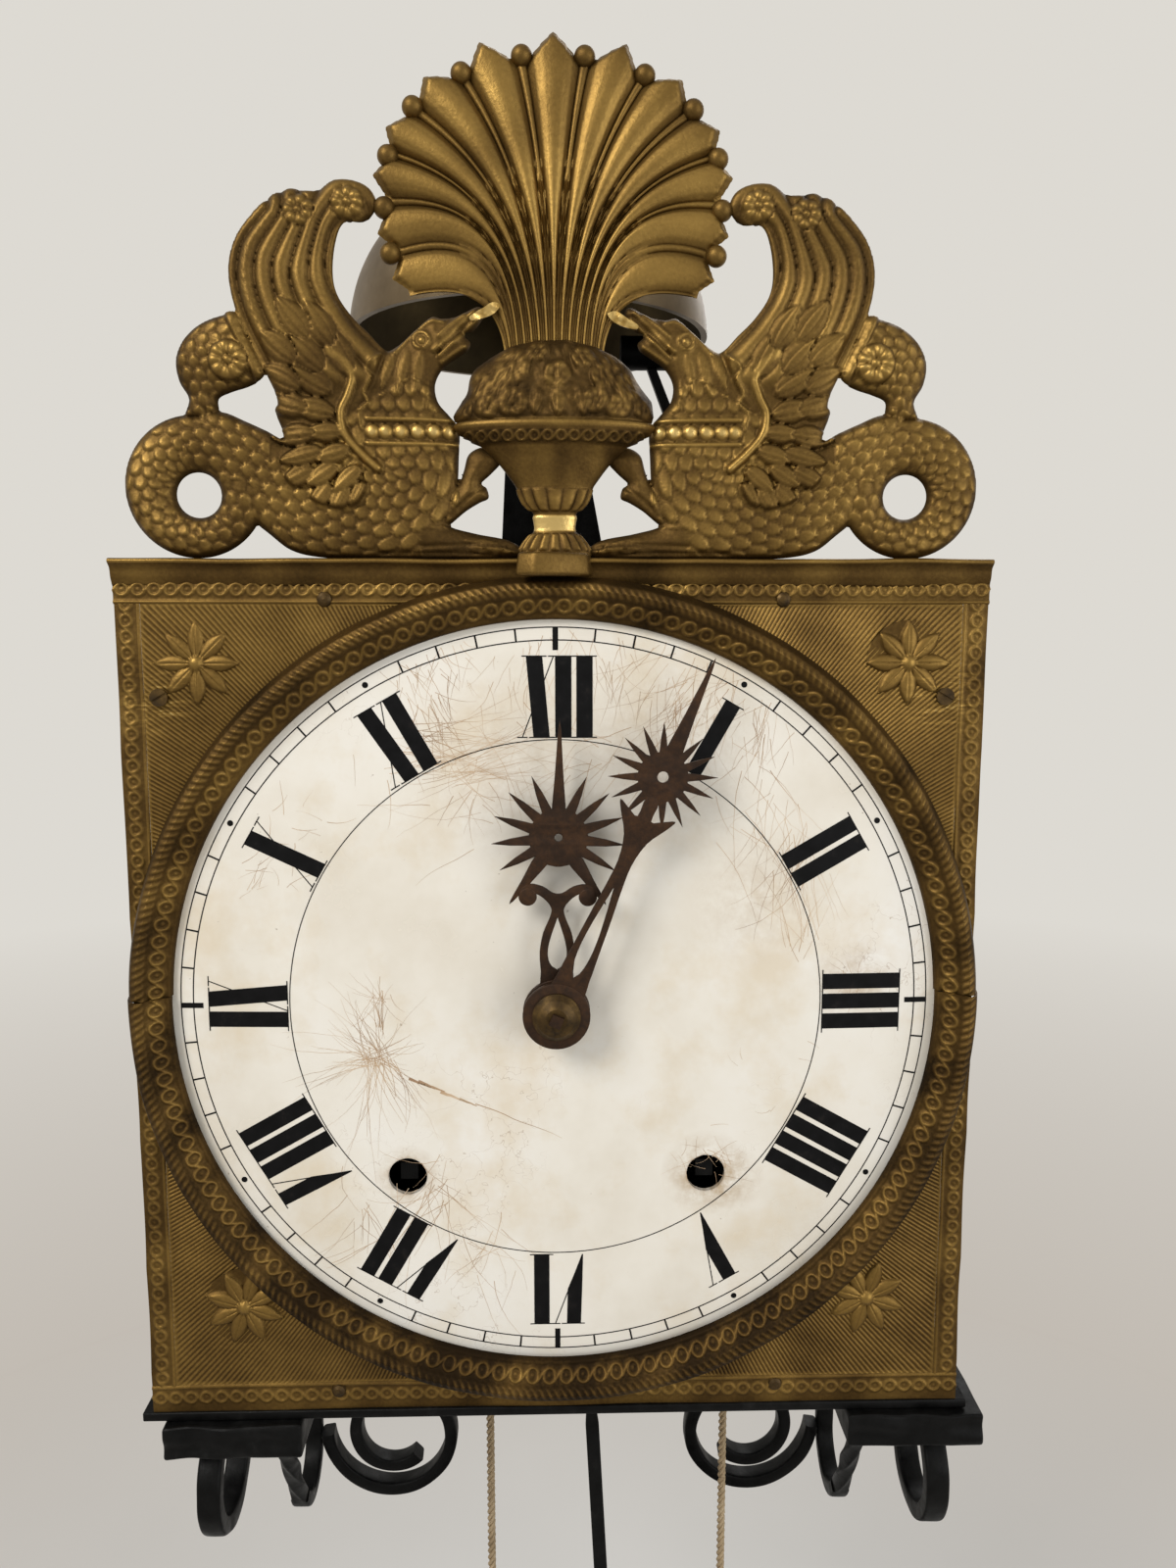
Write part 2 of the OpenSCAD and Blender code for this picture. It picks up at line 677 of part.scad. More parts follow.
// Half outline of the urn from its foot to the flowers on its rim, as half width and height
urn_line = [[0, 131], [10, 131], [11.5, 133], [11.5, 138], [10.5, 140], [9, 141], [6.5, 146], [5.5, 147.5],
    [6.2, 150.5], [6, 152.5], [9.5, 158.5], [12.5, 162.5], [20, 172], [25, 174.5], [29.5, 176.8],
    [29.6, 179.5], [30, 181], [28.2, 186], [25, 190], [22, 194], [18, 197], [13, 199.5], [0, 200]];

urn_forward = 3;
crest_ground = 138.4;

// The urn's rounded front, standing a little before the dragons
module urn() {
    translate([0, -urn_forward, 0]) scale([1, urn_flat, 1]) rotate([0, 0, 180])
        rotate_extrude(angle = 180, $fn = 40) polygon(urn_line);
    slab(-urn_forward - 0.2, 0) both_sides() polygon(urn_line);
}

// The right half of the stamping: a dragon and half the sheaf
module half_crest() {
    slab(-2, 0) dragon_shape();
    for (i = [0 : len(feather_roots) - 1])
        slab(-3.2, -2) polygon(blade(feather_roots[i], feather_bows[i], feather_tips[i], 3));
    for (p = rosette_places) at(p) rod(4.6, -3.4, -2);
    at([41, 201.5]) rod(1.5, -3, -2);
    translate([42, 0, 174.8]) block(-13, 13, -4.4, -2, -3.6, 3.6);
    slab(-2, 0) polygon(concat([[0, sheaf_z]], ground_edge, [[0, 280]]));
    for (i = [0 : len(leaf_tips) - 1]) slab(-leaf_relief + i * 0.2, 0) polygon(leaf_line(i));
    for (p = bead_places) at(p) rotate([90, 0, 0]) cylinder(r1 = bead_r, r2 = bead_r * 0.5, h = 4);
}

// One stamping: two dragons, an urn of flowers and a sheaf of leaves
module crest() color("#80612b") at_clock() translate([0, plate_back, ledge_z - crest_ground]) difference() {
    union() {
        both_sides() half_crest();
        urn();
    }
    block(-front_half_w, front_half_w, -5.2, 1, 100, crest_ground);
}

// Dial and hands

// Front of the domed dial at a distance from its centre
function dial_y(r) = dial_front + dial_bulge * pow(r / dial_r, 2);

module dial() color("#efe9dc") at_clock() difference() {
    rotate([90, 0, 0]) rotate_extrude($fn = 96) polygon(concat(
        [for (s = [0 : 8]) [dial_r * s / 8, -dial_y(dial_r * s / 8)]],
        [for (s = [8 : -1 : 0]) [dial_r * s / 8, -dial_y(dial_r * s / 8) - dial_t]]));
    rod(hour_pipe_r + 1.5, -5, 10);
    for (x = [-train_x, train_x]) at([x, great_z]) rod(key_hole_r, -5, 10);
}

// A spiky sun as one outline, leaving out the rays that the pointer and the legs take
function sun_line(disc_r, ray_r, rays, skip) =
    [for (i = [0 : rays - 1])
        for (k = len([for (s = skip) if (s == i) 1]) > 0 ? [[disc_r, -0.3], [disc_r, 0.3]]
            : [[disc_r, -0.4], [ray_r * 0.74, -0.17], [ray_r, 0], [ray_r * 0.74, 0.17], [disc_r, 0.4]])
            k[0] * [sin((i + k[1]) * 360 / rays), cos((i + k[1]) * 360 / rays)]];

hub_r = 10.5;

// Half of a teardrop loop as points from its foot up to its top
function drop_side(z0, z1, half) =
    [for (s = [0 : 10]) [half * sin(180 * pow(s / 10, 0.6)), z0 + (z1 - z0) * s / 10]];
function drop_line(z0, z1, half) = let (p = drop_side(z0, z1, half))
    concat(p, [for (s = [9 : -1 : 1]) [-p[s][0], p[s][1]]]);

minute_sun = 80.4;
hour_sun = 54.8;

boss_extra = 0.3;

// A hand from its flat shape, with a thicker boss bored for the arbor or pipe
module hand(y, bore_r) difference() {
    union() {
        slab(y, y + hand_t) children(0);
        rod(hub_r, y - boss_extra, y + hand_t + boss_extra);
        slab(y - boss_extra / 2, y + hand_t + boss_extra / 2) children(1);
    }
    rod(bore_r, y - 1, y + hand_t + 1);
}

// A straight taper from half a foot's width to a blunt point
module pointer(half, z0, z1) polygon([[-half, z0], [-0.5, z1 - 3], [0, z1], [0.5, z1 - 3], [half, z0]]);

// Right half of the minute hand's stem, from the hub up to the fleur
minute_stem = [[4.8, 6], [4.9, 14], [4.3, 22], [3.4, 34], [2.6, 43], [2.2, 52], [4, 60], [7.5, 66], [9, 69],
    [5.5, 67.6], [2.2, 66], [2.2, 74]];

module minute_hand_shape() difference() {
    union() {
        polygon(concat(minute_stem, [for (q = backwards(minute_stem)) [-q[0], q[1]]]));
        translate([0, minute_sun]) polygon(sun_line(7.6, 16.5, 16, [0, 8]));
        pointer(2.8, minute_sun + 6, minute_len);
    }
    polygon(drop_line(13, 44, 2.2));
    translate([0, minute_sun]) circle(r = 1.7);
}

// The fleur below the minute hand's sun
module minute_hand_knot() polygon([[-2.4, 63], [-1.6, 73], [1.6, 73], [2.4, 63]]);

module minute_hand() color("#3a2c22") at_clock() rotate([0, minute_angle, 0])
    hand(minute_hand_y, minute_arbor_r + seat_gap) {
        minute_hand_shape();
        minute_hand_knot();
    }

// Right half of the hour hand's stem, from the hub up to the arms that carry the two balls
hour_stem = [[4.4, 7], [5, 13], [5.4, 19], [4.4, 25], [2.4, 30], [2, 33], [4.4, 36], [7.5, 37.6],
    [10.5, 36.5], [11.6, 38.5], [8.6, 40.4], [4.6, 39.6]];

module hour_hand_shape() difference() {
    union() {
        polygon(concat(hour_stem, [[0, 37]], [for (q = backwards(hour_stem)) [-q[0], q[1]]]));
        translate([0, hour_sun]) polygon(sun_line(9, 20.5, 15, [0, 7, 8]));
        pointer(2.3, hour_sun + 7, hour_len);
    }
    polygon(drop_line(13.5, 30, 2.9));
}

hour_leg = [[2.6, 48], [7.2, 42], [14.8, 34], [10.8, 42], [6.5, 49.5]];

// The balls and the two long legs below the hour hand's sun
module hour_hand_scrolls() for (side = [-1, 1]) {
    translate([side * 9.2, 36.4]) circle(r = 2.8, $fn = 32);
    polygon([for (q = hour_leg) [side * q[0], q[1]]]);
}

module hour_hand() color("#3a2c22") at_clock() rotate([0, hour_angle, 0])
    hand(hour_hand_y, hour_pipe_r + seat_gap) {
        hour_hand_shape();
        hour_hand_scrolls();
    }

// The arbor of the minute hand with its motion wheel and squared nose
module centre_arbor() color("#8a8278") at_clock() {
    rod(minute_arbor_r, minute_hand_y - 0.8, bridge_y + bridge_t + 1);
    rotate([0, minute_angle, 0]) block(-1.8, 1.8, minute_hand_y - 5.4, minute_hand_y - 0.8, -1.8, 1.8);
    wheel(motion_teeth, motion_m, cannon_y, heading([0, 0], reverse_at), 4, 6, 0);
}

// The brass collet that holds the minute hand on its arbor
module hand_collet() color("#8c6d33") at_clock() difference() {
    translate([0, minute_hand_y - boss_extra, 0]) rotate([90, 0, 0]) rotate_extrude($fn = 64)
        polygon([[0, 0], [7.4, 0], [7.4, 0.8], [5.8, 2.4], [3.4, 3.6], [0, 3.6]]);
    rod(minute_arbor_r, minute_hand_y - 0.8, minute_hand_y + 1);
    rotate([0, minute_angle, 0]) block(-1.8, 1.8, minute_hand_y - 6, minute_hand_y - 0.8, -1.8, 1.8);
}

snail_y = hour_wheel_y + wheel_t;

// The hour wheel on its pipe, with the stepped snail that counts the strokes
module hour_wheel() color("#a08343") at_clock() difference() {
    union() {
        wheel(hour_teeth, hour_m, hour_wheel_y, heading([0, 0], reverse_at), 5, 9, 0);
        rod(hour_pipe_r, hour_hand_y, hour_wheel_y + 1);
        slab(snail_y, snail_y + 1.6) snail_shape();
    }
    rod(minute_arbor_r + run_gap, hour_hand_y - 1, snail_y + 3);
}

module snail_shape() polygon([for (i = [0 : 11], k = [0, 1, 2]) (8.5 + i * 0.9)
    * [cos(hour_angle + 30 * i + 15 * k), sin(hour_angle + 30 * i + 15 * k)]]);

module reverse_wheel() color("#a08343") at_clock() at(reverse_at) difference() {
    union() {
        wheel(motion_teeth, motion_m, cannon_y, heading(reverse_at, [0, 0]) + 180 / motion_teeth, 4, 5, 0);
        pinion(hour_m, hour_wheel_y - 1, cannon_y, heading(reverse_at, [0, 0]));
    }
    rod(reverse_stud_r + run_gap, 0, cannon_y + wheel_t + 1);
}

// Going train

// A great wheel with the click riveted to it, just clear of its ratchet's teeth
module great_wheel(p, mesh_at) color("#a08343") at_clock() at(p) {
    wheel(great_teeth, great_m, great_y, heading(p, mesh_at), 5, great_hub_r, drum_arbor_r + run_gap);
    rotate([0, click_angle, 0]) {
        slab(great_y + wheel_t - 0.5, great_y + wheel_t + click_t) polygon([[-2.5, ratchet_r + 6.5],
            [10, ratchet_r + 1.2], [11, ratchet_r - 2.6], [4, ratchet_r + 0.8], [-2.5, ratchet_r + 1.6]]);
        at([-0.5, ratchet_r + 4]) rod(1.4, great_y + wheel_t - 0.5, great_y + wheel_t + click_t + 1);
    }
}

module going_great_wheel() great_wheel(going_great, going_second);
module strike_great_wheel() great_wheel(strike_great, strike_pin);

module arbor(p, y0, y1) at(p) rod(arbor_r, y0, y1);

// The second arbor, which turns once an hour and drives the hands from its front end
module going_second_wheel() color("#a08343") at_clock() {
    arbor(going_second, centre_wheel_y - 1, rear_bar_y + bar_t);
    at(going_second) {
        pinion(great_m, great_y - 3, great_y + wheel_t + 3, heading(going_second, going_great));
        wheel(second_teeth, second_m, second_y, heading(going_second, going_third), 5, 6, 0);
        wheel(centre_teeth, centre_m, centre_wheel_y, heading(going_second, [0, 0]), 4, 6, 0);
    }
}

// The wheel that carries the minute arbor along by friction
module centre_wheel() color("#a08343") at_clock()
    wheel(centre_teeth, centre_m, centre_wheel_y, heading([0, 0], going_second) + 180 / centre_teeth, 4, 7,
        minute_arbor_r + run_gap);

module going_third_wheel() color("#a08343") at_clock() {
    arbor(going_third, front_bar_y, rear_bar_y + bar_t);
    at(going_third) {
        pinion(second_m, second_y - 3, second_y + wheel_t + 3, heading(going_third, going_second));
        wheel(going_third_teeth, third_m, third_y, heading(going_third, escape_at), 5, 6, 0);
    }
}

escape_tooth = [[escape_r, 0], [escape_r - 3.4, 0.12], [escape_r - 3.4, 0.7]];

module escape_wheel() color("#b08f48") at_clock() {
    arbor(escape_at, front_bar_y, rear_bar_y + bar_t);
    at(escape_at) {
        pinion(third_m, third_y - 1.6, third_y + wheel_t + 3, heading(escape_at, going_third));
        slab(escape_y, escape_y + wheel_t) difference() {
            polygon([for (i = [0 : escape_teeth - 1], k = escape_tooth)
                k[0] * [cos((i + k[1]) * 360 / escape_teeth), sin((i + k[1]) * 360 / escape_teeth)]]);
            difference() {
                circle(r = escape_r - 6);
                circle(r = 5);
                for (i = [0 : 3]) rotate(i * 90) translate([0, -1.5]) square([escape_r - 5, 3]);
            }
        }
    }
}

// The anchor with its crutch, leaning with the pendulum
pallet_clear = 4.6;
crutch_z = 22;
fork_gap = 0.5;
anchor_edge = [[4, 4], [14, -3], [26, -17], [24, -24], [18, -18], [9, -6]];

module anchor() color("#5b5650") at_clock() at(pivot_at) rotate([0, -swing, 0]) {
    rod(1.5, cock_y + 1.2, anchor_cock_y + cock_t);
    slab(escape_y, escape_y + wheel_t) difference() {
        polygon(concat(anchor_edge, [[0, -3.4]], [for (q = backwards(anchor_edge)) [-q[0], q[1]]]));
        translate(escape_at - pivot_at) circle(r = escape_r + pallet_clear);
    }
    slab(crutch_y, crutch_y + 2) {
        circle(r = 4);
        translate([-1.5, crutch_z - pivot_z - 4]) square([3, pivot_z - crutch_z + 4]);
        translate([-5, crutch_z - pivot_z - 4]) square([10, 5]);
    }
    for (x = [-1, 1]) at([x * (1.6 + 1.2 + fork_gap), crutch_z - pivot_z - 1.5])
        rod(1.2, pendulum_y - 4, crutch_y + 1);
}

// Pendulum, drawn hanging from its pivot and turned by the swing

module hung() at_clock() at(pivot_at) rotate([0, -swing, 0]) children();

hook_z = -212;

// The upper wire from its eye on the stud to the hook under the case
module pendulum_wire() color("#2b2622") hung() {
    difference() {
        rod(4, pendulum_y - 1.8, pendulum_y + 1.8);
        rod(2 + run_gap, pendulum_y - 3, pendulum_y + 3);
    }
    translate([0, pendulum_y, hook_z]) cylinder(r = 1.6, h = -hook_z - 3);
    translate([0, pendulum_y, hook_z - 3]) cylinder(r = 3.8, h = 3);
}

strip_t = 2;
neck_half = 1.3;
slot_gap = 0.1;
thread_r = 1.8;
thread_len = 8;
nut_r = 7;
nut_h = 3.5;
nut_z = -pendulum_len - bob_r - nut_h;

// Right edge of the strip, from its narrow neck at the hook down into the nut
strip_edge = [[neck_half, hook_z - 3], [neck_half, hook_z - 6], [strip_w / 2, hook_z - 17],
    [strip_w / 2, nut_z + 1]];

// The flat strip below the hook with its thread and nut
module pendulum_strip() color("#1f1b19") hung() {
    slab(pendulum_y - strip_t / 2, pendulum_y + strip_t / 2)
        polygon(concat(strip_edge, [for (q = backwards(strip_edge)) [-q[0], q[1]]]));
    translate([0, pendulum_y, nut_z - thread_len]) cylinder(r = thread_r, h = thread_len + 1);
    translate([0, pendulum_y, nut_z]) cylinder(r = nut_r, h = nut_h);
}

// The lens shaped bob, slotted for the strip and sitting on the rating nut
module pendulum_bob() color("#8c6d33") hung() difference() {
    translate([0, pendulum_y, -pendulum_len]) rotate([90, 0, 0]) rotate_extrude($fn = 72)
        polygon(concat([for (s = [0 : 8]) [bob_r * s / 8, bob_t / 2 * (1 - pow(s / 8, 2)) + 1]],
            [for (s = [8 : -1 : 0]) [bob_r * s / 8, -bob_t / 2 * (1 - pow(s / 8, 2)) - 1]]));
    translate([0, pendulum_y, -pendulum_len])
        cube([strip_w + 2 * slot_gap, strip_t + 2 * slot_gap, 2 * bob_r + 2], center = true);
}

// Drums, cords and weights

ratchet_tooth = [[ratchet_r, 0], [ratchet_r - 2.4, 0.15]];

// A drum on its winding arbor: flanges, core, ratchet and the square that takes the key
module drum(p) color("#6d6a64") at_clock() at(p) {
    rod(drum_arbor_r, 14, rear_bar_y + bar_t);
    block(-2.8, 2.8, 5, 14, -2.8, 2.8);
    slab(great_y + wheel_t + 0.4, drum_y) polygon([for (i = [0 : 23], k = ratchet_tooth)
        k[0] * [cos((i + k[1]) * 15), sin((i + k[1]) * 15)]]);
    rod(flange_r, drum_y, drum_y + 1.6);
    rod(drum_r, drum_y, drum_y + drum_len);
    rod(flange_r, drum_y + drum_len - 1.6, drum_y + drum_len);
}

module going_drum() drum(going_great);
module strike_drum() drum(strike_great);

// One unbroken tube of cord wound on the core, ending where the cord drops away to the right
wind_rings = 24;
wind_sides = 6;
wind_start = cord_y - cord_turns * cord_pitch;
echo(winding_gap = cord_pitch * cos(atan(cord_pitch / (2 * PI * cord_reach))) - cord_d);

function wind_ring(s) = let (turn = s / wind_rings, a = 360 * turn)
    [for (k = [0 : wind_sides - 1]) let (b = 360 * k / wind_sides, r = cord_reach + cord_r * cos(b))
        [r * cos(a), wind_start + turn * cord_pitch + cord_r * sin(b), -r * sin(a)]];

module winding(p) color("#b39a76") at_clock() at(p) {
    count = wind_rings * cord_turns;
    points = [for (s = [0 : count], q = wind_ring(s)) q];
    sides = [for (s = [0 : count - 1], k = [0 : wind_sides - 1], half = [0, 1])
        let (a = s * wind_sides + k, b = s * wind_sides + (k + 1) % wind_sides)
        half == 0 ? [a, b + wind_sides, a + wind_sides] : [a, b, b + wind_sides]];
    first = [for (k = [1 : wind_sides - 2]) [0, k + 1, k]];
    base = count * wind_sides;
    last = [for (k = [1 : wind_sides - 2]) [base, base + k, base + k + 1]];
    polyhedron(points, concat(sides, first, last));
}

module going_winding() winding(going_great);
module strike_winding() winding(strike_great);

// A cord's straight fall from drum to weight
module cord(p) color("#b39a76") at_clock() translate([p[0] + cord_reach, cord_y, cord_end_z])
    cylinder(r = cord_r, h = great_z - cord_top_gap - cord_end_z, $fn = 24);

module going_cord() cord(going_great);
module strike_cord() cord(strike_great);

eye_r = 7;
eye_bar_r = 2;

weight_section = [[0, 0], [weight_r - 3, 0], [weight_r, 3], [weight_r, weight_h - 14],
    [weight_r - 3, weight_h - 6], [weight_r - 12, weight_h - 2], [8, weight_h], [0, weight_h]];
weight_top = -2 * eye_r - 12;

// A cast iron weight with a domed head and the iron eye that the cord is tied to
module weight(p) color("#262423") at_clock() translate([p[0] + cord_reach, cord_y, cord_end_z]) {
    translate([0, 0, -eye_r - eye_bar_r - 0.3]) rotate([90, 0, 0]) rotate_extrude($fn = 32)
        translate([eye_r, 0]) circle(r = eye_bar_r, $fn = 20);
    translate([0, 0, weight_top - 2]) cylinder(r = 2.6, h = 14);
    translate([0, 0, weight_top - weight_h]) rotate_extrude($fn = 64) polygon(weight_section);
}

module going_weight() weight(going_great);
module strike_weight() weight(strike_great);

// Strike train

strike_pins = 10;
pin_reach = 27.2;

module pin_wheel() color("#a08343") at_clock() {
    arbor(strike_pin, front_bar_y, rear_bar_y + bar_t);
    at(strike_pin) {
        pinion(great_m, great_y - 3, great_y + wheel_t + 3, heading(strike_pin, strike_great));
        wheel(pin_wheel_teeth, second_m, second_y, heading(strike_pin, strike_third), 5, 6, 0);
        for (i = [0 : strike_pins - 1]) rotate([0, (i + 0.5) * 360 / strike_pins, 0])
            at([pin_reach, 0]) rod(1.1, second_y, hammer_tail_y + 2);
    }
}

module strike_third_wheel() color("#a08343") at_clock() {
    arbor(strike_third, front_bar_y, rear_bar_y + bar_t);
    at(strike_third) {
        pinion(second_m, second_y - 3, second_y + wheel_t + 3, heading(strike_third, strike_pin));
        wheel(strike_third_teeth, third_m, third_y, heading(strike_third, fly_at), 4, 6, 0);
    }
}

fly_r = 20;

// The fly that brakes the strike: two vanes on a pinion arbor
module fly() color("#a08343") at_clock() {
    arbor(fly_at, front_bar_y, rear_bar_y + bar_t);
    at(fly_at) {
        pinion(third_m, third_y - 3, third_y + wheel_t + 3, heading(fly_at, strike_third));
        rotate([0, 25, 0]) block(-fly_r, fly_r, 70, 104, -0.6, 0.6);
    }
}

// The hammer: arbor, arm up to the head inside the bell and tail down to the pins
tail_x = -train_x + pin_reach + 4.5;

module hammer() color("#1f1b19") at_clock() {
    at(hammer_at) rod(arbor_r, 72, rear_bar_y + cock_t);
    at(hammer_at) rod(5, hammer_y - 3, hammer_y + 3);
    slab(hammer_y - 1.5, hammer_y + 1.5) polygon([hammer_at + [-2.6, -1], hammer_head_at + [-1.6, 0],
        hammer_head_at + [1.6, 0], hammer_at + [2.6, 1]]);
    at(hammer_head_at) rotate([0, 90, 0]) translate([0, hammer_y, -9])
        cylinder(r = 6, h = 18);
    slab(hammer_tail_y, hammer_tail_y + 3) polygon([hammer_at + [0, 3], [tail_x - 2, 84], [tail_x - 2, 14],
        [tail_x + 2, 14], [tail_x + 2, 80], hammer_at + [0, -3]]);
}

rack_low = -4;
rack_len = 88;
rack_teeth = 12;
rack_pitch = 3.2;

// The upright rack that counts the strokes, sliding in its guides
module strike_rack() color("#6d6a64") at_clock() {
    slab(rack_y, rack_y + rack_t) difference() {
        translate([rack_x - rack_w / 2, rack_low]) square([rack_w, rack_len]);
        for (i = [0 : rack_teeth - 1]) translate([rack_x + rack_w / 2, rack_low + 3 + i * rack_pitch])
            polygon([[1, -0.2], [-2.6, 1.6], [1, 2.4]]);
    }
    slab(rack_y, rack_y + rack_t) translate([rack_x - 10, guide_high + 4.3]) square([20, 5]);
}

// Doors

door_front = front_post_y + 4;

// A sheet iron side door with a rolled rear edge, its pivot pins and a small knob
module door() {
    z0 = case_bottom + door_gap;
    z1 = top_plate_z - door_gap;
    block(hinge_x - sheet_t / 2, hinge_x + sheet_t / 2, door_front, hinge_y, z0, z1);
    translate([hinge_x, hinge_y, z0]) cylinder(r = door_roll_r, h = z1 - z0);
    translate([hinge_x, hinge_y, z0 - door_gap - plate_t + 0.4])
        cylinder(r = door_pin_r, h = z1 - z0 + 2 * (door_gap + plate_t) - 0.8);
    translate([hinge_x + sheet_t / 2, door_front + 12, 0]) rotate([0, 90, 0]) rotate_extrude($fn = 32)
        polygon([[0, -0.5], [2, -0.5], [1.8, 2], [4, 3.4], [4, 5], [2.6, 6], [0, 6]]);
}

module left_door() color("#33302d") at_clock() mirror([1, 0, 0]) door();
module right_door() color("#33302d") at_clock() door();

// Bell

module bell_stand() color("#171514") at_clock() {
    slab(bell_y - stand_t / 2, bell_y + stand_t / 2)
        polygon([[-stand_foot, stand_base_z], [bell_x - 4.5, stand_top_z], [bell_x + 4.5, stand_top_z],
            [stand_foot, stand_base_z]]);
    block(-stand_foot, stand_foot, bell_y - stand_t / 2, bell_y + 16, stand_base_z, stand_base_z + 4);
    translate([bell_x, bell_y, stand_top_z]) cylinder(r = stud_r, h = bell_crown_z + 8 - stand_top_z);
    translate([bell_x, bell_y, stand_top_z - 0.5])
        cylinder(r = 5, h = bell_crown_z - bell_wall - stand_top_z + 0.2);
}

function backwards(p) = [for (i = [len(p) - 1 : -1 : 0]) p[i]];

// Half section of the bell, from its lip over the shoulder to the crown
function bell_side(r, h) =
    [for (s = [0 : 10]) [r * pow(cos(90 * s / 10), 0.62), h * pow(sin(90 * s / 10), 1.1)]];

module bell() color("#a7a49a") at_clock() translate([bell_x, bell_y, bell_rim_z]) difference() {
    rotate_extrude($fn = 96) polygon(concat(bell_side(bell_r, bell_h),
        backwards(bell_side(bell_r - bell_wall, bell_h - bell_wall))));
    cylinder(r = stud_r + seat_gap, h = bell_h + 1);
}

nut_height = 5;

module bell_nut() color("#2a2725") at_clock() translate([bell_x, bell_y, bell_crown_z]) difference() {
    cylinder(r = 6.5, h = nut_height, $fn = 6);
    translate([0, 0, -1]) cylinder(r = stud_r + seat_gap, h = nut_height + 2);
}

// Wall bracket

module arm() difference() {
    union() {
        block(arm_half_gap - arm_w / 2, arm_half_gap + arm_w / 2, -arm_len, 0, arm_under, arm_top);
        block(arm_half_gap - strap_w / 2, arm_half_gap + strap_w / 2, -strap_t, 0,
            arm_top, screw_gap / 2 + 14);
    }
    for (z = [-screw_gap / 2, screw_gap / 2]) at([arm_half_gap, z]) rod(screw_hole_r, -strap_t - 1, 1);
}

module right_arm() color("#191817") arm();
module left_arm() color("#191817") mirror([1, 0, 0]) arm();

module bar_ring() rotate_extrude($fn = 72) translate([ring_r - scroll_t / 2, -scroll_w / 2])
    square([scroll_t, scroll_w]);

brace_len = norm(brace_from - brace_to);
collar_len = 12;
collar_w = scroll_w + 1;
weld_gap = 0.2;

// Side view of one edge of the bend, from the brace round to the wall
bend_steps = 40;
function bend_edge(r) = [for (i = [0 : bend_steps])
    let (a = brace_start + (360 - brace_start) * i / bend_steps) bend_at + r * [cos(a), sin(a)]];

// Stands upright at the bend's end and points along the brace
module at_brace() translate([0, brace_to[0], brace_to[1]])
    rotate([heading(brace_to, brace_from) - 90, 0, 0]) children();

// The scroll under an arm: front ring, twisted brace, bottom bend and the limb against the wall
module scroll() translate([scroll_x, 0, 0]) {
    translate([0, -arm_len + ring_back, ring_z]) rotate([0, 90, 0]) bar_ring();
    translate([-scroll_w / 2, 0, 0]) rotate([90, 0, 90]) linear_extrude(scroll_w) polygon(concat(
        bend_edge(bend_r + scroll_t / 2), [[0, arm_under], [-scroll_t, arm_under]],
        backwards(bend_edge(bend_r - scroll_t / 2))));
    at_brace() translate([0, 0, weld_gap])
        linear_extrude(brace_len - collar_len - 2 * weld_gap, twist = 540, slices = 30, segments = 4)
            square(brace_side, center = true);
    intersection() {
        at_brace() translate([0, 0, brace_len - collar_len]) linear_extrude(brace_len)
            square(collar_w, center = true);
        block(-collar_w, collar_w, -arm_len, 0, bend_at[1], arm_under);
    }
}

module right_scroll() color("#191817") scroll();
module left_scroll() color("#191817") mirror([1, 0, 0]) scroll();

function spiral_edge(offset, steps) = [for (s = [0 : steps]) let (t = s / steps,
    r = spiral_r - spiral_bar / 2 - (spiral_r - spiral_bar / 2 - spiral_end_r) * pow(t, 0.85) + offset)
    r * [cos(-360 * spiral_turns * t), sin(-360 * spiral_turns * t)]];

// The flat spiral on the wall beside a scroll, cut off square at its inner end
module spiral() translate([spiral_x, 0, spiral_z]) slab(-spiral_depth, 0)
    polygon(concat(spiral_edge(spiral_bar / 2, 48), backwards(spiral_edge(-spiral_bar / 2, 48))));

module right_spiral() color("#191817") spiral();
module left_spiral() color("#191817") mirror([1, 0, 0]) spiral();

bottom_plate();
top_plate();
corner_posts();
back_panel();
going_front_bar();
going_rear_bar();
strike_front_bar();
strike_rear_bar();
pendulum_cock();
anchor_cock();
hammer_cocks();
motion_bridge();
rack_guides();
upper_front_plate();
lower_front_plate();
crest();
dial();
front_nails();
front_screws();
bell_stand();
bell();
bell_nut();
left_arm();
right_arm();
left_scroll();
right_scroll();
left_spiral();
right_spiral();
minute_hand();
centre_arbor();
hand_collet();
hour_hand();
hour_wheel();
reverse_wheel();
going_great_wheel();
going_second_wheel();
going_third_wheel();
escape_wheel();
centre_wheel();
going_drum();
going_winding();
strike_great_wheel();
pin_wheel();
strike_third_wheel();
fly();
strike_drum();
strike_winding();
anchor();
pendulum_wire();
pendulum_strip();
pendulum_bob();
hammer();
strike_rack();
going_weight();
strike_weight();
going_cord();
strike_cord();
left_door();
right_door();
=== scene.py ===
# %% [markdown]
# # A comtoise clock on its iron bracket
# The solids of the clock come from the frame, each in its place. This lesson dresses them: the
# stamped brass front and crest, the enamel dial, the sunburst hands, the bell, the forged bracket and
# the hemp cords. Lengths in the cells are millimetres from the dial's centre, and `row` turns them
# into metres in the frame, where X is right, Y goes into the wall and Z is up.

import json
import math

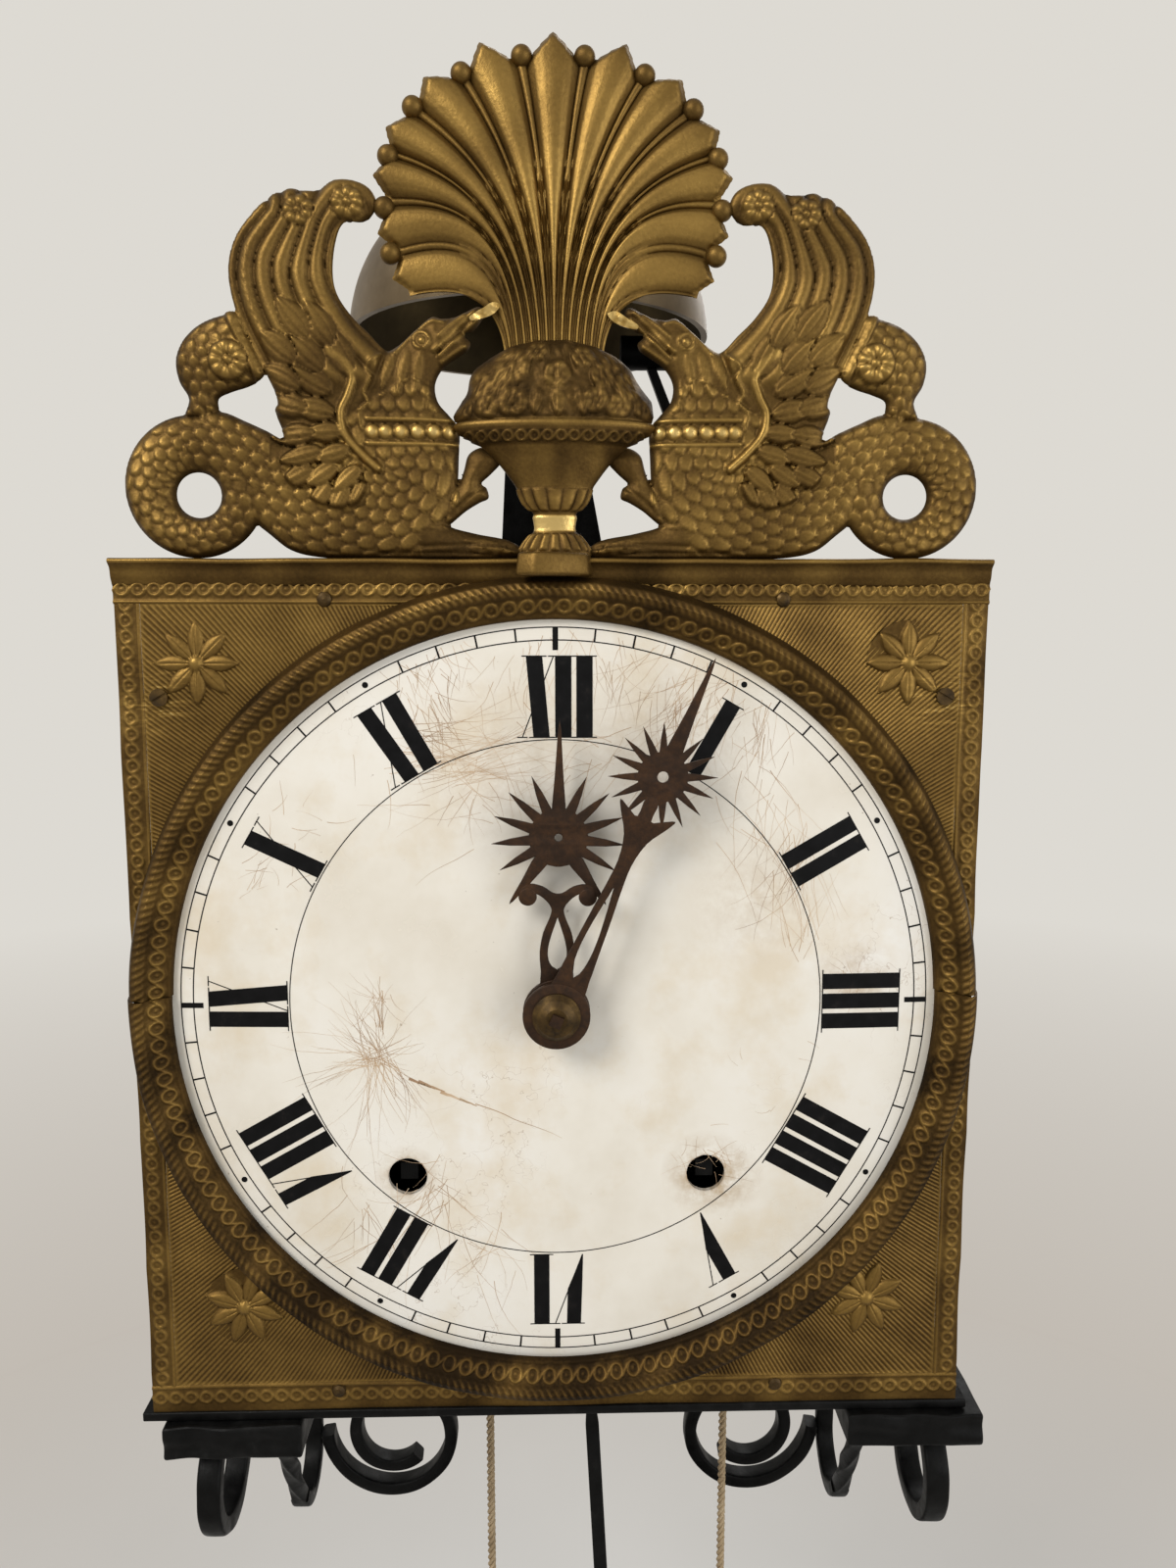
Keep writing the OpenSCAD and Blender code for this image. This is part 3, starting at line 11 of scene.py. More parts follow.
import bpy
import numpy as np
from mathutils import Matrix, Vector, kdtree


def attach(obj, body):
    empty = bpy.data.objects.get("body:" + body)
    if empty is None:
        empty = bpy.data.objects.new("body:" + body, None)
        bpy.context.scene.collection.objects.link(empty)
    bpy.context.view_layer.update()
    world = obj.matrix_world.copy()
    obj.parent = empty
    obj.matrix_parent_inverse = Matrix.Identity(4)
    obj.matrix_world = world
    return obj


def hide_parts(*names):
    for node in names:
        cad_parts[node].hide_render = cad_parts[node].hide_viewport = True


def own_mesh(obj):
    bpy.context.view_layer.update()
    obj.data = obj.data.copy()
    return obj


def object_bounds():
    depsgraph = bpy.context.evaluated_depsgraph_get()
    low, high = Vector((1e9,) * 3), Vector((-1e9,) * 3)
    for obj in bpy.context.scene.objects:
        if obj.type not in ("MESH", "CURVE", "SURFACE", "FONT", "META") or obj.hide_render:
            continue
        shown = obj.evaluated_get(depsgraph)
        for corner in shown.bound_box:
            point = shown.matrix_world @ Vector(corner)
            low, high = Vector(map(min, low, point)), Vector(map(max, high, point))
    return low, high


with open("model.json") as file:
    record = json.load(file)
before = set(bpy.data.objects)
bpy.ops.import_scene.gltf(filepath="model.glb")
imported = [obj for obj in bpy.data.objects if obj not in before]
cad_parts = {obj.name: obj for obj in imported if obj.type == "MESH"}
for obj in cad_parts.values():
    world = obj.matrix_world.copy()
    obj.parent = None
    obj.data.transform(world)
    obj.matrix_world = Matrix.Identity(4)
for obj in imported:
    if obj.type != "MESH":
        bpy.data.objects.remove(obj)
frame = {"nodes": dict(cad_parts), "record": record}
cad_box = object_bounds()
DIAL_CENTRE = np.array([-6.0, -167.0, 100.0])


def row(points):
    """Millimetres from the dial's centre to metres in the frame."""
    return (np.asarray(points, float) + DIAL_CENTRE) / 1000


print("solids", len(frame["nodes"]), "box", [round(v, 4) for corner in cad_box for v in corner])

# %% [markdown]
# ## The camera
# The photograph was taken close to the clock, a little above the dial and looking slightly down, so
# the crest leans in and the bracket falls away. The focal length is 1200 pixels in a 1200 by 1600
# picture, which is a 24 mm lens on a sensor 32 mm high.

# %% Camera
bpy.ops.object.select_all(action="DESELECT")
bpy.ops.object.camera_add(location=row((0.4, -359, 117.8)),
                          rotation=(math.radians(90 - 7.54), 0, math.radians(-1.52)))
camera = bpy.context.object
camera.data.sensor_fit = "VERTICAL"
camera.data.sensor_height = 32
camera.data.lens = 24
camera.data.clip_start = 0.02
bpy.context.scene.camera = camera
print("camera at", [round(v, 4) for v in camera.location])

# %% [markdown]
# ## Building helpers
# A stamped sheet is a height field: a flat grid whose points are pushed forward. Each helper starts
# from Blender's grid primitive, moves its points in one go and leaves the object at the origin. A point
# attribute keeps how high a point stands over its surroundings, so that the brass finish can be dark in
# the hollows and bright on the high places: patina and the rubbing of hands and cloths, mixed with
# painted shade in the hollows and painted highlights on the crests.

# %% Helpers for meshes


def fresh(name):
    """Names the active object and its mesh."""
    piece = bpy.context.object
    piece.name = name
    piece.data.name = name
    return piece


def grid(name, across, along):
    """A grid of across by along points, with the points' index arrays."""
    bpy.ops.object.select_all(action="DESELECT")
    bpy.ops.mesh.primitive_grid_add(x_subdivisions=across - 1, y_subdivisions=along - 1, size=1)
    piece = fresh(name)
    count = len(piece.data.vertices)
    assert count == across * along, (name, count, across, along)
    order = np.arange(count)
    return piece, order % across, order // across


def place(piece, points):
    """Sets a mesh's points, given in millimetres from the dial's centre."""
    piece.location = (0, 0, 0)
    piece.data.vertices.foreach_set("co", row(points).astype(np.float32).ravel())
    piece.data.update()


def mark_wear_and_painted_light(piece, values):
    """Stores how proud each point stands, from 0 in a hollow to 1 on a rubbed edge; the brass shows it as patina and
    wear mixed with painted shade and painted highlight.
    """
    layer = piece.data.attributes.new("wear_and_painted_light", "FLOAT", "POINT")
    layer.data.foreach_set("value", np.clip(values, 0, 1).astype(np.float32))


def apply_modifier(piece, kind, **settings):
    """Adds a modifier with its settings and applies it."""
    bpy.ops.object.select_all(action="DESELECT")
    piece.select_set(True)
    bpy.context.view_layer.objects.active = piece
    modifier = piece.modifiers.new(kind.title(), kind)
    for key, value in settings.items():
        setattr(modifier, key, value)
    bpy.ops.object.modifier_apply(modifier=modifier.name)


def edit(piece):
    """Opens a piece in edit mode with nothing else selected."""
    bpy.ops.object.select_all(action="DESELECT")
    piece.select_set(True)
    bpy.context.view_layer.objects.active = piece
    bpy.ops.object.mode_set(mode="EDIT")


def close_up(piece, gap=0.00001):
    """Merges doubled points and turns the faces outwards."""
    edit(piece)
    bpy.ops.mesh.select_all(action="SELECT")
    bpy.ops.mesh.remove_doubles(threshold=gap)
    bpy.ops.mesh.normals_make_consistent(inside=False)
    bpy.ops.object.mode_set(mode="OBJECT")


def polish(piece, angle=40):
    """Smooth shading that keeps edges sharper than the angle."""
    bpy.ops.object.select_all(action="DESELECT")
    piece.select_set(True)
    bpy.context.view_layer.objects.active = piece
    bpy.ops.object.shade_smooth_by_angle(angle=math.radians(angle))


def joined(name, pieces):
    """Joins pieces into the first one."""
    bpy.ops.object.select_all(action="DESELECT")
    for piece in pieces:
        piece.select_set(True)
    bpy.context.view_layer.objects.active = pieces[0]
    bpy.ops.object.join()
    return fresh(name)


def dress(piece, finish, body, stands_for=()):
    """Gives a piece its finish, its body and the solids it stands for."""
    piece.data.materials.clear()
    piece.data.materials.append(finish)
    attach(piece, body)
    if stands_for:
        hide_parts(*stands_for)
    print(piece.name, len(piece.data.polygons), "faces")


# %% [markdown]
# Curves in the ornament are few listed points with a smooth line through them. The distance from
# a point to such an outline tells how far inside the sheet it is, and that rounds the relief's edges.

# %% Helpers for outlines


def smooth_line(points, steps=5, closed=True):
    """A smooth line through the points."""
    p = np.asarray(points, float)
    n = len(p)
    out = []
    for i in range(n if closed else n - 1):
        pick = [(i + k) % n if closed else min(max(i + k, 0), n - 1) for k in (-1, 0, 1, 2)]
        a, b, c, d = p[pick]
        for t in np.arange(steps) / steps:
            out.append(0.5 * (2 * b + (c - a) * t + (2 * a - 5 * b + 4 * c - d) * t * t
                              + (3 * b - a - 3 * c + d) * t ** 3))
    if not closed:
        out.append(p[-1])
    return np.array(out)


def inside_distance(x, z, outline):
    """Distance to a closed outline, positive inside it."""
    a = np.asarray(outline, float)
    b = np.roll(a, -1, axis=0)
    d = b - a
    length = np.maximum((d ** 2).sum(1), 1e-12)
    result = np.empty(x.size)
    flat_x, flat_z = x.ravel(), z.ravel()
    for start in range(0, x.size, 6000):
        px = flat_x[start:start + 6000, None]
        pz = flat_z[start:start + 6000, None]
        t = np.clip(((px - a[:, 0]) * d[:, 0] + (pz - a[:, 1]) * d[:, 1]) / length, 0, 1)
        gap = np.hypot(px - a[:, 0] - t * d[:, 0], pz - a[:, 1] - t * d[:, 1]).min(1)
        crosses = (a[:, 1] > pz) != (b[:, 1] > pz)
        at = a[:, 0] + (pz - a[:, 1]) * d[:, 0] / np.where(d[:, 1] == 0, 1e-12, d[:, 1])
        odd = (crosses & (px < at)).sum(1) % 2 == 1
        result[start:start + 6000] = np.where(odd, gap, -gap)
    return result.reshape(x.shape)


def line_distance(x, z, line):
    """Distance to an open line, with the share along it and the signed side."""
    tree = kdtree.KDTree(len(line))
    for i, p in enumerate(line):
        tree.insert((p[0], p[1], 0), i)
    tree.balance()
    along = np.gradient(line, axis=0)
    along /= np.linalg.norm(along, axis=1)[:, None]
    near = np.array([tree.find((u, v, 0))[1] for u, v in zip(x.ravel(), z.ravel())])
    dx, dz = x.ravel() - line[near, 0], z.ravel() - line[near, 1]
    side = along[near, 0] * dz - along[near, 1] * dx
    travel = np.concatenate([[0], np.cumsum(np.linalg.norm(np.diff(line, axis=0), axis=1))])
    return np.hypot(dx, dz).reshape(x.shape), travel[near].reshape(x.shape), side.reshape(x.shape)


def mix(a, b, share):
    return a + (b - a) * share


def step_up(x, low, high):
    """A soft step from 0 to 1 between low and high."""
    t = np.clip((x - low) / (high - low), 0, 1)
    return t * t * (3 - 2 * t)


def ripple(x, z, size, seed):
    """Gentle unevenness from a few slanting waves, about 1 high."""
    rng = np.random.default_rng(seed)
    total = np.zeros_like(x)
    for _ in range(7):
        turn, phase = rng.uniform(0, math.tau, 2)
        pitch = size * rng.uniform(0.6, 1.8)
        total = total + np.sin(math.tau * (x * math.cos(turn) + z * math.sin(turn)) / pitch + phase)
    return total / 3.5


# %% [markdown]
# ## Finishes
# Every finish is built from nodes on Object coordinates. `node` adds one and fills its sockets: a
# socket given as a value is linked, anything else is typed in. Old stamped brass is brown in its
# hollows and golden on its high places, with a dull, slightly grainy shine; here the brown is patina
# mixed with painted shade, and the gold is rubbed wear mixed with painted highlight.

# %% Helpers for finishes


def new_finish(name, metallic=0.0, roughness=0.5):
    material = bpy.data.materials.new(name)
    material.use_nodes = True
    shader = material.node_tree.nodes["Principled BSDF"]
    shader.inputs["Metallic"].default_value = metallic
    shader.inputs["Roughness"].default_value = roughness
    return material, shader


def node(material, kind, inputs=None, **settings):
    made = material.node_tree.nodes.new("ShaderNode" + kind)
    for key, value in settings.items():
        setattr(made, key, value)
    for key, value in (inputs or {}).items():
        feed(material, made.inputs[key], value)
    return made


def feed(material, socket, value):
    if isinstance(value, bpy.types.NodeSocket):
        material.node_tree.links.new(value, socket)
    else:
        socket.default_value = value


def places(material):
    return node(material, "TexCoord").outputs["Object"]


def noise(material, where, scale, detail=3.0, rough=0.5, warp=0.0):
    made = node(material, "TexNoise", {"Vector": where, "Scale": scale, "Detail": detail, "Roughness": rough,
                                       "Distortion": warp})
    return made.outputs["Fac"]


def maths(material, what, a, b=0.0, c=0.0):
    made = node(material, "Math", operation=what)
    for socket, value in zip(made.inputs, (a, b, c)):
        feed(material, socket, value)
    return made.outputs[0]


def colours(material, share, *stops):
    """A colour ramp from (place, red, green, blue) stops."""
    made = node(material, "ValToRGB", {"Fac": share})
    ramp = made.color_ramp
    while len(ramp.elements) < len(stops):
        ramp.elements.new(0.5)
    for element, (at, *colour) in zip(ramp.elements, stops):
        element.position = at
        element.color = (*colour, 1)
    return made.outputs["Color"]


def levels(material, share, low, high, out_low=0.0, out_high=1.0):
    made = node(material, "MapRange", {"Value": share, "From Min": low, "From Max": high, "To Min": out_low,
                                       "To Max": out_high})
    return made.outputs["Result"]


def blend_colours(material, share, under, over, how="MIX"):
    made = node(material, "Mix", data_type="RGBA", blend_type=how)
    feed(material, made.inputs["Factor"], share)
    feed(material, made.inputs[6], under)
    feed(material, made.inputs[7], over)
    return made.outputs[2]


def bumps(material, shader, height, strength, distance):
    made = node(material, "Bump", {"Height": height, "Strength": strength, "Distance": distance})
    material.node_tree.links.new(made.outputs["Normal"], shader.inputs["Normal"])


# %% Stamped brass
stamped_brass, shader = new_finish("stamped_brass", metallic=0.9)
where = places(stamped_brass)
# The point attribute read here mixes patina and wear with painted shade in the hollows and painted highlights on the
# crests; the ramp below turns it from dark brown to bright gold.
proud = node(stamped_brass, "Attribute", attribute_name="wear_and_painted_light").outputs["Fac"]
cloud = noise(stamped_brass, where, 38, 5, 0.6)
grain = noise(stamped_brass, where, 900, 3, 0.6)
share = maths(stamped_brass, "ADD", proud, levels(stamped_brass, cloud, 0.3, 0.7, -0.09, 0.09))
share = maths(stamped_brass, "ADD", share, levels(stamped_brass, grain, 0.3, 0.7, -0.05, 0.05))
streaks = node(stamped_brass, "Mapping", {"Vector": where, "Rotation": (0, 0.7, 0), "Scale": (110, 60, 620)}).outputs[0]
streaks = levels(stamped_brass, noise(stamped_brass, streaks, 1, 3, 0.6), 0.5, 0.66)
for screw_x in (-0.126, 0.114):
    from_screw = node(stamped_brass, "VectorMath", {0: where, 1: (screw_x, -0.166, 0.197)}, operation="DISTANCE").outputs["Value"]
    scuffs = maths(stamped_brass, "MULTIPLY", streaks, levels(stamped_brass, from_screw, 0.005, 0.014, 0.4, 0.0))
    share = maths(stamped_brass, "ADD", share, scuffs)
colour = colours(stamped_brass, share, (0.05, 0.017, 0.009, 0.0024), (0.3, 0.082, 0.0455, 0.0116),
                 (0.55, 0.175, 0.104, 0.0262), (0.8, 0.30, 0.185, 0.048), (1.0, 0.58, 0.41, 0.15))
feed(stamped_brass, shader.inputs["Base Color"], colour)
feed(stamped_brass, shader.inputs["Roughness"], levels(stamped_brass, share, 0.1, 0.95, 0.62, 0.33))
bumps(stamped_brass, shader, maths(stamped_brass, "ADD", grain, maths(stamped_brass, "MULTIPLY", cloud, 2.0)), 0.25, 0.0004)

# %% Movement brass
movement_brass, shader = new_finish("movement_brass", metallic=1.0)
where = places(movement_brass)
cloud = noise(movement_brass, where, 55, 4, 0.55)
turned = noise(movement_brass, node(movement_brass, "Mapping", {"Vector": where, "Scale": (900, 30, 900)}).outputs[0], 1, 2)
feed(movement_brass, shader.inputs["Base Color"],
     colours(movement_brass, cloud, (0.3, 0.20, 0.12, 0.035), (0.55, 0.42, 0.28, 0.09), (0.75, 0.56, 0.39, 0.14)))
feed(movement_brass, shader.inputs["Roughness"], levels(movement_brass, cloud, 0.3, 0.7, 0.5, 0.26))
bumps(movement_brass, shader, turned, 0.12, 0.0002)

dull_brass, shader = new_finish("dull_brass", metallic=0.7)
grime = noise(dull_brass, places(dull_brass), 260, 5, 0.65)
feed(dull_brass, shader.inputs["Base Color"],
     colours(dull_brass, grime, (0.32, 0.022, 0.0118, 0.0026), (0.55, 0.066, 0.037, 0.0085), (0.75, 0.124, 0.072, 0.018)))
feed(dull_brass, shader.inputs["Roughness"], levels(dull_brass, grime, 0.3, 0.7, 0.58, 0.4))
bumps(dull_brass, shader, grime, 0.2, 0.0002)

# %% Black forged iron
black_iron, shader = new_finish("black_iron")
shader.inputs["Specular IOR Level"].default_value = 0.1
where = places(black_iron)
scale_spots = noise(black_iron, where, 160, 5, 0.65)
hammer_marks = node(black_iron, "TexVoronoi", {"Vector": where, "Scale": 95}, feature="SMOOTH_F1").outputs["Distance"]
rubbed = noise(black_iron, where, 34, 4, 0.6)
feed(black_iron, shader.inputs["Base Color"],
     colours(black_iron, maths(black_iron, "ADD", scale_spots, levels(black_iron, rubbed, 0.35, 0.75, -0.15, 0.2)),
             (0.3, 0.0015, 0.0015, 0.0015), (0.6, 0.0037, 0.0037, 0.0036), (0.9, 0.012, 0.0115, 0.011)))
feed(black_iron, shader.inputs["Roughness"], levels(black_iron, scale_spots, 0.3, 0.7, 0.34, 0.58))
bumps(black_iron, shader, maths(black_iron, "MULTIPLY_ADD", hammer_marks, 1.2, maths(black_iron, "MULTIPLY", scale_spots, 0.35)),
      0.7, 0.0011)

# %% Sheet iron
sheet_iron, shader = new_finish("sheet_iron", metallic=0.55)
where = places(sheet_iron)
rolled = noise(sheet_iron, node(sheet_iron, "Mapping", {"Vector": where, "Scale": (40, 40, 9)}).outputs[0], 1, 5, 0.6)
rust = noise(sheet_iron, where, 28, 6, 0.65, 0.4)
iron_colour = colours(sheet_iron, rolled, (0.3, 0.022, 0.020, 0.019), (0.6, 0.055, 0.050, 0.046), (0.8, 0.085, 0.078, 0.070))
feed(sheet_iron, shader.inputs["Base Color"],
     blend_colours(sheet_iron, levels(sheet_iron, rust, 0.56, 0.72), iron_colour, (0.085, 0.035, 0.014, 1)))
feed(sheet_iron, shader.inputs["Roughness"], levels(sheet_iron, rust, 0.35, 0.7, 0.42, 0.72))
bumps(sheet_iron, shader, maths(sheet_iron, "ADD", rolled, rust), 0.2, 0.0004)

# %% Rusted steel of the hands
hand_steel, shader = new_finish("hand_steel", metallic=0.6)
where = places(hand_steel)
rust = noise(hand_steel, where, 120, 6, 0.7)
pits = noise(hand_steel, where, 700, 3, 0.6)
feed(hand_steel, shader.inputs["Base Color"],
     colours(hand_steel, maths(hand_steel, "MULTIPLY_ADD", pits, 0.3, maths(hand_steel, "MULTIPLY", rust, 0.8)),
             (0.3, 0.0092, 0.0044, 0.0018), (0.52, 0.0252, 0.0109, 0.0039), (0.72, 0.0565, 0.0240, 0.0075)))
feed(hand_steel, shader.inputs["Roughness"], levels(hand_steel, rust, 0.3, 0.7, 0.42, 0.66))
bumps(hand_steel, shader, maths(hand_steel, "ADD", rust, pits), 0.3, 0.00025)

# %% Bright steel of the movement
movement_steel, shader = new_finish("movement_steel", metallic=1.0)
where = places(movement_steel)
filed = noise(movement_steel, node(movement_steel, "Mapping", {"Vector": where, "Scale": (1200, 60, 240)}).outputs[0], 1, 3)
dull = noise(movement_steel, where, 60, 4, 0.6)
feed(movement_steel, shader.inputs["Base Color"],
     colours(movement_steel, dull, (0.3, 0.13, 0.12, 0.11), (0.6, 0.33, 0.31, 0.29), (0.8, 0.45, 0.43, 0.40)))
feed(movement_steel, shader.inputs["Roughness"], levels(movement_steel, filed, 0.3, 0.7, 0.28, 0.48))
bumps(movement_steel, shader, filed, 0.15, 0.0002)

# %% Bell metal, dull grey outside and brown within
bell_outside, shader = new_finish("bell_outside", metallic=0.75)
where = places(bell_outside)
film = noise(bell_outside, where, 30, 5, 0.6)
lathe = noise(bell_outside, node(bell_outside, "Mapping", {"Vector": where, "Scale": (6, 6, 1400)}).outputs[0], 1, 2)
feed(bell_outside, shader.inputs["Base Color"],
     colours(bell_outside, film, (0.3, 0.075, 0.050, 0.024), (0.55, 0.145, 0.103, 0.055), (0.75, 0.22, 0.165, 0.095)))
feed(bell_outside, shader.inputs["Roughness"], levels(bell_outside, film, 0.3, 0.7, 0.55, 0.4))
bumps(bell_outside, shader, lathe, 0.08, 0.0002)

bell_inside, shader = new_finish("bell_inside", metallic=0.8)
where = places(bell_inside)
film = noise(bell_inside, where, 26, 5, 0.6)
feed(bell_inside, shader.inputs["Base Color"],
     colours(bell_inside, film, (0.3, 0.032, 0.022, 0.010), (0.6, 0.085, 0.060, 0.024), (0.8, 0.15, 0.105, 0.042)))
feed(bell_inside, shader.inputs["Roughness"], levels(bell_inside, film, 0.3, 0.7, 0.6, 0.4))

# %% Hemp
hemp, shader = new_finish("hemp", roughness=0.85)
where = places(hemp)
fibre = noise(hemp, node(hemp, "Mapping", {"Vector": where, "Scale": (2600, 2600, 500)}).outputs[0], 1, 4, 0.6)
shade = noise(hemp, where, 90, 4)
feed(hemp, shader.inputs["Base Color"],
     colours(hemp, maths(hemp, "MULTIPLY_ADD", fibre, 0.6, maths(hemp, "MULTIPLY", shade, 0.5)),
             (0.3, 0.19, 0.125, 0.066), (0.55, 0.42, 0.31, 0.18), (0.8, 0.60, 0.48, 0.31)))
bumps(hemp, shader, fibre, 0.5, 0.0003)
print("finishes", [m.name for m in bpy.data.materials if m.users == 0 or m.use_nodes][-9:])

# %% [markdown]
# ## Stage and light
# A pale floor and a pale world stand for a plain studio. Camera rays, and rays mirrored by metal, see
# the pale wall colour, while the world's own light on the object stays moderate. Two broad lamps in
# front give the relief its light and shade.

# %% Floor, world and lamps
scene = bpy.context.scene
scene.view_settings.view_transform = "Standard"
bpy.ops.object.select_all(action="DESELECT")
bpy.ops.mesh.primitive_plane_add(size=9, location=(0, 0, cad_box[0].z - 0.12))
floor = fresh("floor")
floor_with_painted_glow, shader = new_finish("floor_with_painted_glow", roughness=0.8)
mottle = colours(floor_with_painted_glow, noise(floor_with_painted_glow, places(floor_with_painted_glow), 3, 4), (0.3, 0.70, 0.675, 0.63), (0.7, 0.75, 0.725, 0.68))
# Painted light: beyond about 0.4 m from the clock the floor's paint fades to black and the floor glows instead, dim at
# first and as pale as the wall far off, so that it melts into the background; this glow also sends light up onto the
# clock.
away = node(floor_with_painted_glow, "VectorMath", {0: places(floor_with_painted_glow)}, operation="LENGTH").outputs["Value"]
feed(floor_with_painted_glow, shader.inputs["Base Color"], blend_colours(floor_with_painted_glow, levels(floor_with_painted_glow, away, 0.4, 1.0), mottle, (0, 0, 0, 1)))
feed(floor_with_painted_glow, shader.inputs["Emission Color"],
     colours(floor_with_painted_glow, levels(floor_with_painted_glow, away, 0.4, 4.4), (0.0, 0, 0, 0), (0.15, 0.54, 0.50, 0.45), (0.7, 0.725, 0.70, 0.65)))
shader.inputs["Emission Strength"].default_value = 1.0
shader.inputs["Specular IOR Level"].default_value = 0.0
floor.data.materials.append(floor_with_painted_glow)

world = bpy.data.worlds.new("pale_room")
scene.world = world
world.use_nodes = True
tree = world.node_tree
ambient = tree.nodes["Background"]
ambient.inputs["Color"].default_value = (0.93, 0.96, 1.0, 1)
ambient.inputs["Strength"].default_value = 0.36
pale = tree.nodes.new("ShaderNodeBackground")
pale.inputs["Color"].default_value = (0.725, 0.70, 0.65, 1)
rays = tree.nodes.new("ShaderNodeLightPath")
seen = rays.outputs["Is Camera Ray"]
for kind in ("Is Glossy Ray", "Is Transmission Ray"):
    either = tree.nodes.new("ShaderNodeMath")
    either.operation = "MAXIMUM"
    tree.links.new(seen, either.inputs[0])
    tree.links.new(rays.outputs[kind], either.inputs[1])
    seen = either.outputs[0]
choose = tree.nodes.new("ShaderNodeMixShader")
tree.links.new(seen, choose.inputs[0])
tree.links.new(ambient.outputs[0], choose.inputs[1])
tree.links.new(pale.outputs[0], choose.inputs[2])
tree.links.new(choose.outputs[0], tree.nodes["World Output"].inputs["Surface"])


def lamp(name, place, aim, size, power, colour):
    """A square lamp that shines from a place towards an aim."""
    bpy.ops.object.light_add(type="AREA", location=place)
    made = bpy.context.object
    made.name = name
    made.data.shape = "SQUARE"
    made.data.size = size
    made.data.energy = power
    made.data.color = colour
    direction = bpy.context.object.location.copy()
    direction = direction.__class__(aim) - direction
    made.rotation_euler = direction.to_track_quat("-Z", "Y").to_euler()


lamp("window", (-1.1, -1.35, 1.25), (0, -0.15, 0.12), 0.8, 27, (1.0, 0.98, 0.95))
lamp("fill", (1.3, -1.2, 0.35), (0, -0.15, 0.1), 1.2, 13, (0.96, 0.98, 1.0))
lamp("back", (0.6, 1.3, 1.2), (0, -0.1, 0.1), 1.2, 12, (1, 1, 1))

# %% [markdown]
# ## The hemp cords
# Each weight hangs on a three strand cord that leaves its drum on the right. A rope is three round
# strands laid in a helix, so one helper lays strands along any line: straight down for the cords, round
# the drum for the turns that are left on it and through the weight's eye for the knot. The cord is
# shortest when the weight is wound up; here it is carried by the weight's body and moves with that joint.

# %% Rope
CORD_RADIUS = 1.75
DRUM_REACH = 20.0
GREAT_Z, CORD_Y, CORD_END = -57.0, 88.0, -300.0


def tube(name, line, side, other, radius, sides):
    """A round tube along a line, with the two directions that span its section."""
    piece, i, j = grid(name, sides + 1, len(line))
    turn = math.tau * i / sides
    place(piece, line[j] + radius * (np.cos(turn)[:, None] * side[j] + np.sin(turn)[:, None] * other[j]))
    close_up(piece)
    edit(piece)
    bpy.ops.mesh.select_all(action="DESELECT")
    bpy.ops.mesh.select_mode(type="EDGE")
    bpy.ops.mesh.select_non_manifold()
    bpy.ops.mesh.fill_holes(sides=sides)
    bpy.ops.mesh.select_all(action="SELECT")
    bpy.ops.mesh.normals_make_consistent(inside=False)
    bpy.ops.object.mode_set(mode="OBJECT")
    return piece


def spans(line):
    """Two directions square to a line that turn as little as possible along it."""
    ahead = np.gradient(line, axis=0)
    ahead /= np.linalg.norm(ahead, axis=1)[:, None]
    side = np.empty_like(line)
    start = np.array([0.0, 1, 0]) if abs(ahead[0][1]) < 0.9 else np.array([1.0, 0, 0])
    for k in range(len(line)):
        start = start - ahead[k] * start.dot(ahead[k])
        start = start / np.linalg.norm(start)
        side[k] = start
    return side, np.cross(ahead, side)


def rope_along(name, line, lay=9.0):
    """Three strands twisted round a line."""
    side, other = spans(line)
    travel = np.concatenate([[0], np.cumsum(np.linalg.norm(np.diff(line, axis=0), axis=1))])
    strands = []
    for k in range(3):
        turn = math.tau * (travel / lay + k / 3)
        out = np.cos(turn)[:, None] * side + np.sin(turn)[:, None] * other
        across = -np.sin(turn)[:, None] * side + np.cos(turn)[:, None] * other
        strands.append(tube(f"{name}_{k}", line + 0.86 * out, out, across, 0.9, 8))
    rope = joined(name, strands)
    polish(rope, 60)
    return rope


# %% Cords, windings and knots
for body, x in (("going", 48.0), ("strike", -48.0)):
    cord_x = x + DRUM_REACH
    drop = np.array([[cord_x, CORD_Y, z] for z in np.linspace(GREAT_Z - 0.3, CORD_END, 230)])
    cord = rope_along(f"{body}_hemp_cord", drop)
    turns = 4
    share = np.linspace(0, 1, 460)
    angle = -math.tau * turns * (share - 1)
    coil = np.stack([x + DRUM_REACH * np.cos(angle), CORD_Y - 4.2 * turns * (1 - share),
                     GREAT_Z + DRUM_REACH * np.sin(angle)], axis=1)
    wound = rope_along(f"{body}_hemp_turns", coil)
    eye_top = CORD_END - 2.3
    loop_turn = np.linspace(0, math.tau, 40)
    loop = np.stack([np.full(40, cord_x + 0.2), CORD_Y + 4.0 * np.sin(loop_turn), eye_top + 4.0 * np.cos(loop_turn)], axis=1)
    whip = np.linspace(0, 1, 90)
    whipping = np.stack([cord_x + 3.5 * np.cos(math.tau * 3 * whip), CORD_Y + 3.5 * np.sin(math.tau * 3 * whip),
                         CORD_END + 5 + 11 * whip], axis=1)
    knot = joined(f"{body}_hemp_knot", [rope_along("loop", loop), rope_along("whipping", whipping)])
    dress(cord, hemp, f"{body}_weight", [f"{body}_cord"])
    dress(knot, hemp, f"{body}_weight")
    dress(wound, hemp, f"{body}_drum", [f"{body}_winding"])
    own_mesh(cord)

# %% [markdown]
# ## The enamel dial
# The dial is a slightly domed disc of white enamel on copper, with hairline cracks, brown stains round
# the winding holes and one star shaped crack on its left. A grid bent into a disc makes the dome, a
# Boolean cuts the holes, and the finish draws cracks as thin cell borders that show only in patches.

